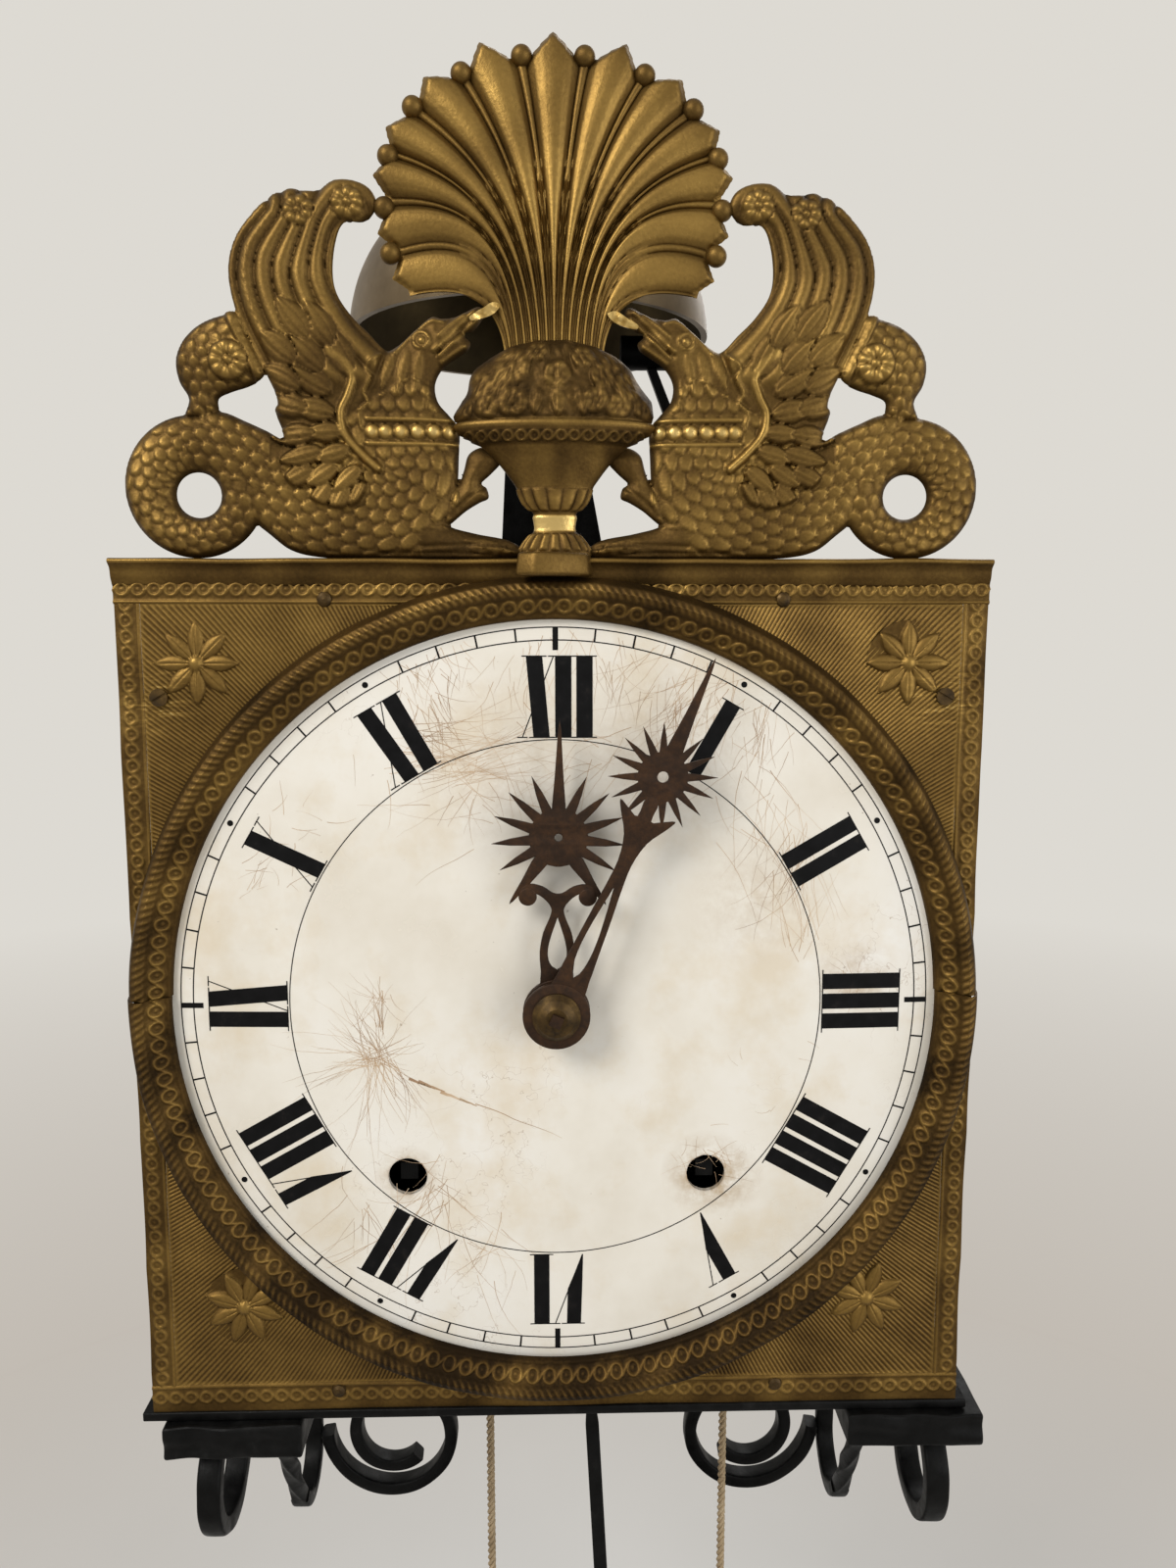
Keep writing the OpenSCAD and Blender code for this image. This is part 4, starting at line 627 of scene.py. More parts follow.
# %% Enamel finish
enamel, shader = new_finish("enamel", roughness=0.2)
middle = node(enamel, "VectorMath", {0: places(enamel), 1: tuple(DIAL_CENTRE / 1000)}, operation="SUBTRACT").outputs[0]
flat = node(enamel, "Mapping", {"Vector": middle, "Scale": (1, 0, 1)}).outputs[0]


def near(x, z, full, none):
    """1 within the full radius of a place on the dial, 0 beyond the none radius."""
    gap = node(enamel, "VectorMath", {0: flat, 1: (x / 1000, 0, z / 1000)}, operation="DISTANCE").outputs["Value"]
    return levels(enamel, gap, full / 1000, none / 1000, 1, 0)


def cracks(scale, width, patch_scale, low, high):
    """Thin wandering lines, shown where a coarse noise is high."""
    wander = node(enamel, "TexNoise", {"Vector": flat, "Scale": scale * 1.5, "Detail": 3.0})
    bent = node(enamel, "Mix", {"Factor": 0.03, 4: flat, 5: wander.outputs["Color"]}, data_type="VECTOR").outputs[1]
    cells = node(enamel, "TexVoronoi", {"Vector": bent, "Scale": scale}, feature="DISTANCE_TO_EDGE").outputs["Distance"]
    line = levels(enamel, cells, width, width * 2.2, 1, 0)
    return maths(enamel, "MULTIPLY", line, levels(enamel, noise(enamel, flat, patch_scale, 2), low, high))


tone = noise(enamel, flat, 16, 5, 0.6)
colour = colours(enamel, tone, (0.3, 0.68, 0.62, 0.515), (0.52, 0.775, 0.73, 0.642), (0.72, 0.82, 0.79, 0.73))
yellow = maths(enamel, "MULTIPLY", levels(enamel, noise(enamel, flat, 24, 5, 0.65), 0.5, 0.68), 0.45)
colour = blend_colours(enamel, yellow, colour, (0.63, 0.50, 0.31, 1))
for x, z, full, none, deep in ((-48, -57, 5, 11, 0.75), (48, -57, 5, 15, 0.85), (55, -60, 2, 13, 0.6), (95, 6, 3, 16, 0.6),
                               (35, 79, 4, 34, 0.35), (-15, 74, 4, 36, 0.3), (62, 34, 3, 26, 0.35)):
    spread = maths(enamel, "MULTIPLY", near(x, z, full, none), levels(enamel, noise(enamel, flat, 130, 4, 0.7), 0.35, 0.62))
    colour = blend_colours(enamel, maths(enamel, "MULTIPLY", spread, deep), colour, (0.42, 0.29, 0.15, 1))
for x in (-48, 48):
    burnt = maths(enamel, "MULTIPLY", near(x, -57, 4.6, 6.8), levels(enamel, noise(enamel, flat, 260, 3, 0.7), 0.32, 0.55))
    colour = blend_colours(enamel, maths(enamel, "MULTIPLY", burnt, 0.92), colour, (0.07, 0.045, 0.03, 1))
lines = maths(enamel, "MULTIPLY", cracks(70, 0.004, 14, 0.56, 0.66), 0.4)
colour = blend_colours(enamel, lines, colour, (0.30, 0.18, 0.09, 1))
specks = levels(enamel, noise(enamel, flat, 420, 2), 0.74, 0.78)
feed(enamel, shader.inputs["Base Color"], blend_colours(enamel, maths(enamel, "MULTIPLY", specks, 0.5), colour, (0.22, 0.14, 0.08, 1)))
feed(enamel, shader.inputs["Roughness"], levels(enamel, tone, 0.3, 0.7, 0.3, 0.17))
shader.inputs["Coat Weight"].default_value = 0.35
shader.inputs["Coat Roughness"].default_value = 0.08
bumps(enamel, shader, maths(enamel, "MULTIPLY_ADD", lines, -0.6, maths(enamel, "MULTIPLY", tone, 1.5)), 0.15, 0.0003)

# %% Dial disc
DIAL_RADIUS = 122.0


def dial_front(r):
    """Depth of the dial's face at a distance from its centre."""
    return -0.2 + 3.0 * (r / DIAL_RADIUS) ** 2


disc, i, j = grid("enamel_dial", 193, 30)
turn = math.tau * i / 192
r = 6.5 + (DIAL_RADIUS - 6.5) * j / 29
place(disc, np.stack([r * np.sin(turn), dial_front(r), r * np.cos(turn)], axis=1))
close_up(disc)
apply_modifier(disc, "SOLIDIFY", thickness=0.0018, offset=-1)
for x in (-48, 48):
    bpy.ops.object.select_all(action="DESELECT")
    bpy.ops.mesh.primitive_cylinder_add(vertices=48, radius=0.0062, depth=0.03, location=row((x, 0, GREAT_Z)),
                                        rotation=(math.pi / 2, 0, 0))
    drill = bpy.context.object
    apply_modifier(disc, "BOOLEAN", object=drill, operation="DIFFERENCE", solver="EXACT")
    bpy.data.objects.remove(drill)
polish(disc, 50)
dress(disc, enamel, "case", ["dial"])

# %% [markdown]
# The numerals stand with their feet to the centre, so each is drawn upright at twelve and turned to its
# hour. Thick strokes, hairline strokes and serifs are narrow patches that follow the dome a little in
# front of it. Four is four strokes, as clockmakers write it.

# %% Numerals and minute track
INK_LIFT = 0.07
HOUR_LOW, HOUR_HIGH, STROKE, HAIR, LETTER_GAP = 84.6, 109.4, 5.0, 0.34, 1.5
numerals = ["XII", "I", "II", "III", "IIII", "V", "VI", "VII", "VIII", "IX", "X", "XI"]
ink_points, ink_faces = [], []


def patch(corners, turn, steps=6):
    """A four cornered stroke from its foot to its head, turned clockwise to its hour."""
    left, right, right_top, left_top = (np.array(c, float) for c in corners)
    start = len(ink_points)
    for s in np.linspace(0, 1, steps + 1):
        for u, v in (mix(left, left_top, s), mix(right, right_top, s)):
            x, z = v * math.sin(turn) + u * math.cos(turn), v * math.cos(turn) - u * math.sin(turn)
            ink_points.append((x, dial_front(math.hypot(x, z)) - INK_LIFT, z))
    for s in range(steps):
        a = start + 2 * s
        ink_faces.append((a, a + 1, a + 3, a + 2))


def stroke(foot, head, wide, turn, low=HOUR_LOW, high=HOUR_HIGH):
    patch(((foot - wide / 2, low), (foot + wide / 2, low), (head + wide / 2, high), (head - wide / 2, high)), turn)


def serif(at, z, turn, reach=STROKE / 2 + 1.3):
    patch(((at - reach, z - HAIR / 2), (at + reach, z - HAIR / 2), (at + reach, z + HAIR / 2), (at - reach, z + HAIR / 2)), turn, 1)


widths = {"I": STROKE, "V": 8.8, "X": 7.4}
for hour, word in enumerate(numerals):
    turn = math.tau * hour / 12
    at = -(sum(widths[c] for c in word) + LETTER_GAP * (len(word) - 1)) / 2 + (1.2 if hour == 0 else 0)
    for letter in word:
        if letter == "I":
            stroke(at + STROKE / 2, at + STROKE / 2, STROKE, turn)
            serif(at + STROKE / 2, HOUR_LOW, turn)
            serif(at + STROKE / 2, HOUR_HIGH, turn)
        elif letter == "V":
            cut = mix(HOUR_LOW, HOUR_HIGH, 0.5)
            patch(((at - 0.7, HOUR_LOW), (at - 0.5, HOUR_LOW), (at + STROKE - 0.7, cut), (at - 0.4, cut)), turn)
            patch(((at - 0.4, cut), (at + STROKE - 0.7, cut), (at + STROKE - 0.4, HOUR_HIGH), (at, HOUR_HIGH)), turn)
            stroke(at - 0.5, at + 8.4, HAIR, turn)
            serif(at + STROKE / 2, HOUR_HIGH, turn)
            serif(at + 8.4, HOUR_HIGH, turn, 1.6)
        else:
            stroke(at + 7.2 - STROKE / 2, at + STROKE / 2, STROKE, turn)
            stroke(at - 1.2, at + 8.4, HAIR, turn)
            serif(at + STROKE / 2, HOUR_HIGH, turn)
            serif(at + 7.2 - STROKE / 2, HOUR_LOW, turn)
            serif(at - 1.2, HOUR_LOW, turn, 1.6)
            serif(at + 8.4, HOUR_HIGH, turn, 1.6)
        at += widths[letter] + LETTER_GAP

for radius, wide in ((114.3, 0.36), (118.2, 0.36), (83.9, 0.3)):
    for s in range(240):
        a, b = math.tau * s / 240, math.tau * (s + 1) / 240
        start = len(ink_points)
        for angle in (a, b):
            for rr in (radius - wide / 2, radius + wide / 2):
                ink_points.append((rr * math.sin(angle), dial_front(rr) - INK_LIFT, rr * math.cos(angle)))
        ink_faces.append((start, start + 2, start + 3, start + 1))
for minute in range(60):
    turn = math.tau * minute / 60
    if minute % 15 == 0:
        stroke(0, 0, 1.7, turn, 111.2, 118.2)
    elif minute % 5:
        stroke(0, 0, 0.55, turn, 114.3, 118.2)
    else:
        start = len(ink_points)
        for s in range(16):
            a = math.tau * s / 16
            x, z = 116.2 * math.sin(turn) + 0.95 * math.cos(a), 116.2 * math.cos(turn) + 0.95 * math.sin(a)
            ink_points.append((x, dial_front(math.hypot(x, z)) - INK_LIFT, z))
        ink_faces.append(tuple(range(start + 15, start - 1, -1)))

ink_mesh = bpy.data.meshes.new("dial_ink")
ink_mesh.from_pydata(row(ink_points).tolist(), [], ink_faces)
ink = bpy.data.objects.new("dial_ink", ink_mesh)
scene.collection.objects.link(ink)
close_up(ink)
apply_modifier(ink, "SOLIDIFY", thickness=0.00005, offset=-1)

black_enamel, shader = new_finish("black_enamel", roughness=0.25)
where = places(black_enamel)
thin = noise(black_enamel, where, 240, 4, 0.6)
feed(black_enamel, shader.inputs["Base Color"],
     colours(black_enamel, thin, (0.3, 0.0018, 0.0018, 0.002), (0.6, 0.0035, 0.0034, 0.0038), (0.85, 0.016, 0.013, 0.011)))
feed(black_enamel, shader.inputs["Roughness"], levels(black_enamel, thin, 0.3, 0.7, 0.3, 0.5))
shader.inputs["Specular IOR Level"].default_value = 0.12
bumps(black_enamel, shader, thin, 0.1, 0.0002)
dress(ink, black_enamel, "case")

# %% [markdown]
# Old enamel is crazed: fine brown hairlines run out from a few blows and along the rim. Each line is a
# narrow ribbon that wanders a little, drawn from a place, a range of directions and a range of lengths.

# %% Hairline cracks
hair_points, hair_faces = [], []
rng = np.random.default_rng(8)


def hairline(x, z, aim, length, bend, wide):
    """One wandering ribbon on the dial, thin at its far end."""
    start = len(hair_points)
    steps = 9
    for s in range(steps + 1):
        heading_ = aim + bend * s / steps + rng.normal(0, 0.07)
        thin = wide * (1 - 0.75 * s / steps) / 2
        for side in (-1, 1):
            u, v = x - side * thin * math.sin(heading_), z + side * thin * math.cos(heading_)
            hair_points.append((u, dial_front(math.hypot(u, v)) - 0.04, v))
        x, z = x + length / steps * math.cos(heading_), z + length / steps * math.sin(heading_)
        if math.hypot(x, z) > 117:
            break
    for s in range((len(hair_points) - start) // 2 - 1):
        a = start + 2 * s
        hair_faces.append((a, a + 2, a + 3, a + 1))


CRAZE = [((-57, -17), 0, 360, 40, (5, 24), 3), ((-57, -17), 95, 210, 26, (12, 34), 5), ((-57, -17), 250, 320, 20, (14, 46), 5),
         ((-55.5, 4), 60, 300, 14, (4, 16), 4), ((-56, -8), 80, 100, 8, (6, 16), 2), ((-40, -60), 180, 330, 26, (8, 34), 8),
         ((-62, -72), 200, 320, 18, (8, 30), 12), ((-20, -82), 150, 340, 14, (8, 26), 12), ((40, 105), 190, 290, 46, (8, 30), 24),
         ((-28, 72), 150, 380, 30, (8, 34), 14), ((10, 78), 150, 260, 20, (8, 24), 12), ((62, 62), 190, 330, 26, (8, 34), 18),
         ((78, 20), 60, 130, 14, (10, 34), 8), ((48, -52), 0, 360, 22, (3, 12), 9), ((95, 6), 60, 280, 14, (3, 12), 5),
         ((70, -20), 0, 360, 8, (2, 6), 24), ((-80, 52), 0, 360, 16, (3, 12), 12), ((-92, 40), 0, 120, 10, (3, 12), 9),
         ((-38, 104), 240, 320, 60, (4, 14), 22), ((-6, 110), 230, 310, 40, (4, 16), 20), ((-40, 92), 250, 330, 36, (5, 18), 16),
         ((-44, 80), -25, 25, 26, (12, 40), 9), ((-30, 76), 0, 30, 22, (12, 36), 9), ((62, 92), 200, 300, 40, (5, 20), 18),
         ((44, 98), 200, 260, 26, (5, 22), 14), ((14, 108), 240, 300, 24, (4, 14), 14), ((76, 48), 220, 300, 24, (8, 26), 12)]
for (at_x, at_z), first, last, count, (short, long), spread in CRAZE:
    for _ in range(count):
        off_x, off_z = rng.normal(0, spread / 2, 2)
        hairline(at_x + off_x, at_z + off_z, math.radians(rng.uniform(first, last)), rng.uniform(short, long),
                 rng.normal(0, 0.5), rng.uniform(0.08, 0.2))
for at_x, at_z, length, wide in ((-47, -24, 9, 1.0), (-44, -25, 9, 1.3), (-37, -28.4, 10, 1.1), (-31, -30.8, 6, 0.9), (-26, -32.5, 30, 0.3)):
    hairline(at_x, at_z, math.radians(-23), length, 0.02, wide)

hair_mesh = bpy.data.meshes.new("dial_hairlines")
hair_mesh.from_pydata(row(hair_points).tolist(), [], hair_faces)
hairs = bpy.data.objects.new("dial_hairlines", hair_mesh)
scene.collection.objects.link(hairs)
apply_modifier(hairs, "SOLIDIFY", thickness=0.00003, offset=-1)
close_up(hairs, 0.000002)
brown_hair, shader = new_finish("crack_brown", roughness=0.6)
feed(brown_hair, shader.inputs["Base Color"],
     colours(brown_hair, noise(brown_hair, places(brown_hair), 60, 3), (0.3, 0.66, 0.52, 0.37), (0.5, 0.47, 0.32, 0.19), (0.72, 0.26, 0.15, 0.08)))
dress(hairs, brown_hair, "case")

# %% [markdown]
# ## The stamped brass front
# The front is thin brass in two halves that lap at mid height. Round the dial runs a hollow ring with a
# chain of linked circles and a rope on its crest. The corners have fine rays and an eight petalled
# flower, and a narrow chain follows the outer edges. Rings and rays are easiest on a grid that is bent
# round the dial's centre, so that the pattern lines run along the grid and stay crisp.

# %% Ring round the dial
PLATE, BRASS, LAP, LOWER_PROUD = 2.6, 1.2, 3.5, 1.3
OPENING, RING_EDGE = 120.5, 134.0


def chain(along, across, pitch, half, wide):
    """Height of a row of small circles, each joined to the next by a slanting link."""
    from_eye = ((along / pitch) % 1 - 0.5) * pitch
    circles = np.exp(-((np.hypot(from_eye, across) - 0.94 * half) / wide) ** 2)
    from_joint = ((along / pitch + 0.5) % 1 - 0.5) * pitch
    slope = 2.0 * half / (pitch - half)
    links = np.exp(-((across - slope * from_joint) / math.hypot(1, slope) / wide) ** 2)
    links = links * (1 - step_up(np.abs(across), 0.75 * half, half)) * (1 - step_up(np.abs(from_joint), 0.3 * pitch, 0.36 * pitch))
    bosses = 0.55 * np.exp(-(from_eye ** 2 + across ** 2) / (0.24 * half) ** 2)
    return np.maximum(np.maximum(circles, links), bosses)


def ring_height(turn, r):
    """How far the ring stands out from the sheet's back, and its tone: patina and wear, with painted highlights on the
    rope's crests.
    """
    profile = np.interp(r - OPENING, [0, 0.02, 0.9, 1.6, 6.0, 7.2, 9.0, 11.2, 12.6, 13.5],
                        [0, 2.0, 2.5, 2.6, 5.9, 7.2, 7.9, 7.0, 3.6, 0])
    links = 142
    band = chain(turn * links / math.tau * 5.5, (r - 124.3) * 1.0, 5.5, 1.95, 0.46) * step_up(r, 121.4, 122) * (1 - step_up(r, 126.6, 127.1))
    edge = np.clip(1 - ((r - 129.3) / 2.3) ** 2, 0, 1)
    ribs = (0.5 + 0.5 * np.cos(turn * 340 + (r - 129.3) * 1.5)) * np.sqrt(edge)
    height = profile + 0.75 * band + 0.5 * ribs
    # The rope's ribs get thin bright lines on their crests, partly rubbed wear and partly a painted highlight.
    wear_and_painted_light = 0.2 + 0.3 * band * step_up(r, 121, 123) + 0.27 * ribs ** 3 - 0.06 * step_up(r, 131.2, 132.5)
    return height, wear_and_painted_light


def ring_half(name, steps, upper):
    piece, i, j = grid(name, steps, 46)
    r = OPENING + (RING_EDGE - OPENING) * j / 45
    limit = np.arccos((LAP if upper else LAP) / r)
    share = i / (steps - 1)
    turn = mix(-limit, limit, share) if upper else mix(limit, math.tau - limit, share)
    height, wear_and_painted_light = ring_height(turn, r)
    dent = 0.25 * ripple(r * np.sin(turn), r * np.cos(turn), 34, 5)
    depth = PLATE - (0 if upper else LOWER_PROUD) - height - dent * step_up(r, 121, 124)
    place(piece, np.stack([r * np.sin(turn), depth, r * np.cos(turn)], axis=1))
    # Painted light: the ring is made a little lighter at its top and much darker towards its bottom, as if the light
    # came from above.
    high = np.cos(turn)
    wear_and_painted_light = wear_and_painted_light + 0.03 + 0.095 * high - 0.065 * high ** 2
    mark_wear_and_painted_light(piece, wear_and_painted_light + 0.1 * ripple(r * np.sin(turn), r * np.cos(turn), 22, 9))
    apply_modifier(piece, "SOLIDIFY", thickness=0.0006, offset=-1)
    polish(piece, 80)
    return piece


upper_ring = ring_half("upper_ring", 960, True)
lower_ring = ring_half("lower_ring", 1000, False)

# %% Corners with fine rays


def corner(name, side, rise, edge_x, edge_z, proud):
    """A spandrel between the ring and the edge's chain, engraved with rays from the dial's centre."""
    piece, i, j = grid(name, 560, 26)
    share = i / 559 if side * rise > 0 else 1 - i / 559
    turn = mix(math.acos(edge_z / 132.6), math.asin(edge_x / 132.6), share)
    reach = np.minimum(edge_z / np.cos(turn), edge_x / np.sin(turn))
    r = mix(132.0, reach, j / 25)
    x, z = side * r * np.sin(turn), rise * r * np.cos(turn)
    line = 0.5 + 0.5 * np.cos(turn * 720)
    fade = step_up(reach - r, 0.2, 1.0)
    swell = 0.35 * ripple(x, z, 40, 21)
    height = BRASS + swell - 0.34 * line * fade
    place(piece, np.stack([x, PLATE - proud - height, z], axis=1))
    # Painted light: the upper corners are painted lighter than the lower ones, and the left ones a little lighter than
    # the right, as the light falls from the upper left.
    mark_wear_and_painted_light(piece, 0.615 + 0.03 * rise - 0.015 * side - 0.38 * line * fade + 0.06 * ripple(x, z, 18, 3))
    apply_modifier(piece, "SOLIDIFY", thickness=0.0009, offset=-1)
    polish(piece, 80)
    return piece


def flower(name, at_x, at_z, proud, twist):
    """Eight petals with a midrib round a boss."""
    piece, i, j = grid(name, 161, 26)
    turn, r = math.tau * i / 160, 13.0 * (j / 25)
    petal_turn = ((turn * 8 / math.tau + twist) % 1 - 0.5) * math.tau / 8
    across, along = r * np.sin(petal_turn), r * np.cos(petal_turn)
    half = 2.75 * np.sin(math.pi * np.clip((along - 1.2) / 11.6, 0.001, 0.999)) ** 0.75
    petal = 1.5 * np.sqrt(np.clip(1 - (across / np.maximum(half, 0.05)) ** 2, 0, 1))
    petal = petal * (0.75 + 0.25 * np.sin(math.pi * np.clip(along / 13, 0, 1))) - 0.3 * np.exp(-(across / 0.22) ** 2) * (petal > 0.4)
    boss = 2.3 * np.sqrt(np.clip(1 - (r / 2.7) ** 2, 0, 1))
    height = np.maximum(np.maximum(petal, boss) - 0.35, -0.6)
    place(piece, np.stack([at_x + r * np.sin(turn), PLATE - BRASS - proud - height, at_z + r * np.cos(turn)], axis=1))
    mark_wear_and_painted_light(piece, 0.36 + 0.17 * height)
    close_up(piece)
    polish(piece, 80)
    return piece


EDGE_X, EDGE_TOP, EDGE_LOW = 124.6, 125.0, 127.6
upper_corners = [corner(f"upper_rays_{n}", s, 1, EDGE_X, EDGE_TOP, 0) for n, s in (("left", -1), ("right", 1))]
lower_corners = [corner(f"lower_rays_{n}", s, -1, EDGE_X, EDGE_LOW, LOWER_PROUD) for n, s in (("left", -1), ("right", 1))]
upper_flowers = [flower(f"upper_flower_{n}", s * 108.5, 107.3, 0, 0.5) for n, s in (("left", -1), ("right", 1))]
lower_flowers = [flower(f"lower_flower_{n}", s * 101.5, -100.5, LOWER_PROUD, 0.1) for n, s in (("left", -1), ("right", 1))]

# %% Chain along the edges and the rolled ledge
FRONT_HALF, CASE_BOTTOM = 132.5, -137.0


def chain_strip(name, start, end, inner, outer, upright, side, proud):
    """A strip of chain along an edge, with a raised line on its inner side."""
    steps = int(abs(end - start) / 0.42)
    piece, i, j = grid(name, steps, 22)
    along = mix(start, end, i / (steps - 1))
    out = mix(inner, outer, j / 21)
    middle = inner + 4.4
    height = BRASS + 0.55 * chain(along, out - middle, 4.9, 1.85, 0.42) + 0.5 * np.exp(-((out - inner - 0.7) / 0.45) ** 2)
    wear_and_painted_light = 0.33 + 0.45 * (height - BRASS)
    x, z = (along, out) if not upright else (out, along)
    flip = 1 if (not upright) == (side > 0) else -1
    x, z = (x, z * side) if not upright else (x * side, z)
    edge_wave = 0.5 * ripple(along, along * 0, 46, 12) * step_up(out, outer - 3, outer)
    x, z = (x, z) if not upright else (x - side * np.abs(edge_wave), z)
    if flip < 0:
        order = np.arange(len(i)).reshape(22, steps)[:, ::-1].ravel()
        x, z, height, wear_and_painted_light = x[order], z[order], height[order], wear_and_painted_light[order]
    swell = 0.35 * ripple(x, z, 40, 21)
    place(piece, np.stack([x, PLATE - proud - height - swell, z], axis=1))
    mark_wear_and_painted_light(piece, wear_and_painted_light + 0.1 * ripple(x, z, 20, 8))
    apply_modifier(piece, "SOLIDIFY", thickness=0.0009, offset=-1)
    polish(piece, 80)
    return piece


upper_strips = [chain_strip("upper_chain_top", -FRONT_HALF, FRONT_HALF, EDGE_TOP, 131.6, False, 1, 0)]
lower_strips = [chain_strip("lower_chain_foot", -FRONT_HALF, FRONT_HALF, EDGE_LOW, -CASE_BOTTOM, False, -1, LOWER_PROUD)]
for n, s in (("left", -1), ("right", 1)):
    upper_strips.append(chain_strip(f"upper_chain_{n}", LAP, EDGE_TOP + 0.2, EDGE_X, FRONT_HALF, True, s, 0))
    lower_strips.append(chain_strip(f"lower_chain_{n}", -EDGE_LOW - 0.2, LAP, EDGE_X, FRONT_HALF, True, s, LOWER_PROUD))

ledge, i, j = grid("rolled_ledge", 260, 20)
x = mix(-FRONT_HALF, FRONT_HALF, i / 259)
section = smooth_line([(0.2, 130.4), (-1.2, 130.4), (-1.9, 131.6), (-2.6, 133), (-2.8, 134.4), (-3.2, 135.8), (-4.2, 136.8),
                       (-4.9, 137.5), (-4.6, 138.3), (-3, 138.6), (-1, 138.6), (0.2, 138.5)], 3, closed=False)
section = section[np.linspace(0, len(section) - 1, 20).astype(int)]
uneven = 0.4 * ripple(x, x * 0, 48, 31)
place(ledge, np.stack([x, PLATE + section[j, 0] * (1 + 0.05 * uneven), section[j, 1] + 0.5 * uneven * (section[j, 1] > 136)], axis=1))
# The ledge's most forward strip, its lip, is painted brighter: rubbed wear together with a painted highlight.
mark_wear_and_painted_light(ledge, 0.33 + 0.24 * (section[j, 0] < -4.5) + 0.08 * ripple(x, section[j, 1], 17, 4))
apply_modifier(ledge, "SOLIDIFY", thickness=0.0009, offset=-1)
polish(ledge, 60)

for piece in (upper_ring, *upper_corners, *upper_flowers, *upper_strips, ledge):
    dress(piece, stamped_brass, "case", ["upper_front_plate"] if piece is upper_ring else ())
for piece in (lower_ring, *lower_corners, *lower_flowers, *lower_strips):
    dress(piece, stamped_brass, "case", ["lower_front_plate"] if piece is lower_ring else ())

# %% [markdown]
# ## The crest
# The crest is one thin stamping: two winged dragons, an urn of flowers and a sheaf of leaves. A dragon
# starts as a flat grid. Faces outside its outline are deleted, the points on the rim slide onto the
# outline, and then the relief is pushed out: a rounded body, rows of scales along the body's middle
# line, a beaded collar and the feathers of the wing. The left dragon is the right one mirrored.

# %% Helper for a sheet cut to an outline


def millimetres(piece):
    """A mesh's points back in millimetres from the dial's centre."""
    points = np.empty(len(piece.data.vertices) * 3, np.float32)
    piece.data.vertices.foreach_get("co", points)
    return points.reshape(-1, 3).astype(float) * 1000 - DIAL_CENTRE


def cut_sheet(name, depth_inside, low, high, step):
    """A grid over a box with only the faces that reach inside, its rim moved onto the outline."""
    across, along = (int((b - a) / step) + 1 for a, b in zip(low, high))
    piece, i, j = grid(name, across, along)
    x, z = low[0] + i * step, low[1] + j * step
    place(piece, np.stack([x, 0 * x, z], axis=1))
    inside = depth_inside(x, z) > 0
    corners = np.empty(len(piece.data.loops), np.int32)
    piece.data.loops.foreach_get("vertex_index", corners)
    spare = ~inside[corners.reshape(-1, 4)].any(1)
    edit(piece)
    bpy.ops.mesh.select_mode(type="FACE")
    bpy.ops.mesh.select_all(action="DESELECT")
    bpy.ops.object.mode_set(mode="OBJECT")
    piece.data.polygons.foreach_set("select", spare)
    edit(piece)
    bpy.ops.mesh.delete(type="FACE")
    bpy.ops.object.mode_set(mode="OBJECT")
    points = millimetres(piece)
    x, z = points[:, 0], points[:, 2]
    for _ in range(2):
        out = np.flatnonzero(depth_inside(x, z) < 0)
        here = depth_inside(x[out], z[out])
        slope_x = (depth_inside(x[out] + 0.05, z[out]) - here) / 0.05
        slope_z = (depth_inside(x[out], z[out] + 0.05) - here) / 0.05
        steep = np.maximum(np.hypot(slope_x, slope_z), 0.3)
        x[out] -= here * slope_x / steep ** 2
        z[out] -= here * slope_z / steep ** 2
    return piece, x, z


def bulge(depth, reach, high):
    """A quarter round that rises from the rim."""
    return high * np.sqrt(1 - (1 - np.clip(depth / reach, 0, 1)) ** 2)


def plume(x, z, at, aim, length, wide):
    """Relief of one short feather that starts at a place and points along an angle in degrees."""
    turn = math.radians(aim)
    along = (x - at[0]) * math.cos(turn) + (z - at[1]) * math.sin(turn)
    across = (z - at[1]) * math.cos(turn) - (x - at[0]) * math.sin(turn)
    share = np.clip(along / length, 0, 1)
    half = wide / 2 * np.sin(math.pi * share ** 0.8) ** 0.7 + 1e-6
    body = np.sqrt(np.clip(1 - (across / half) ** 2, 0, 1)) * (along > 0) * (along < length)
    return body * (0.5 + 0.5 * share) - 0.25 * np.exp(-((np.abs(across) - 0.35 * half) / 0.25) ** 2) * (body > 0.4)


def rosette_relief(x, z, at, r, petals):
    """Relief of a small round flower."""
    far, turn = np.hypot(x - at[0], z - at[1]), np.arctan2(z - at[1], x - at[0])
    lobes = 0.55 + 0.45 * np.abs(np.cos(turn * petals / 2))
    ring = np.clip(1 - ((far - 0.62 * r) / (0.38 * r)) ** 2, 0, 1) ** 0.5 * lobes
    return np.maximum(ring, 0.9 * np.sqrt(np.clip(1 - (far / (0.26 * r)) ** 2, 0, 1)))


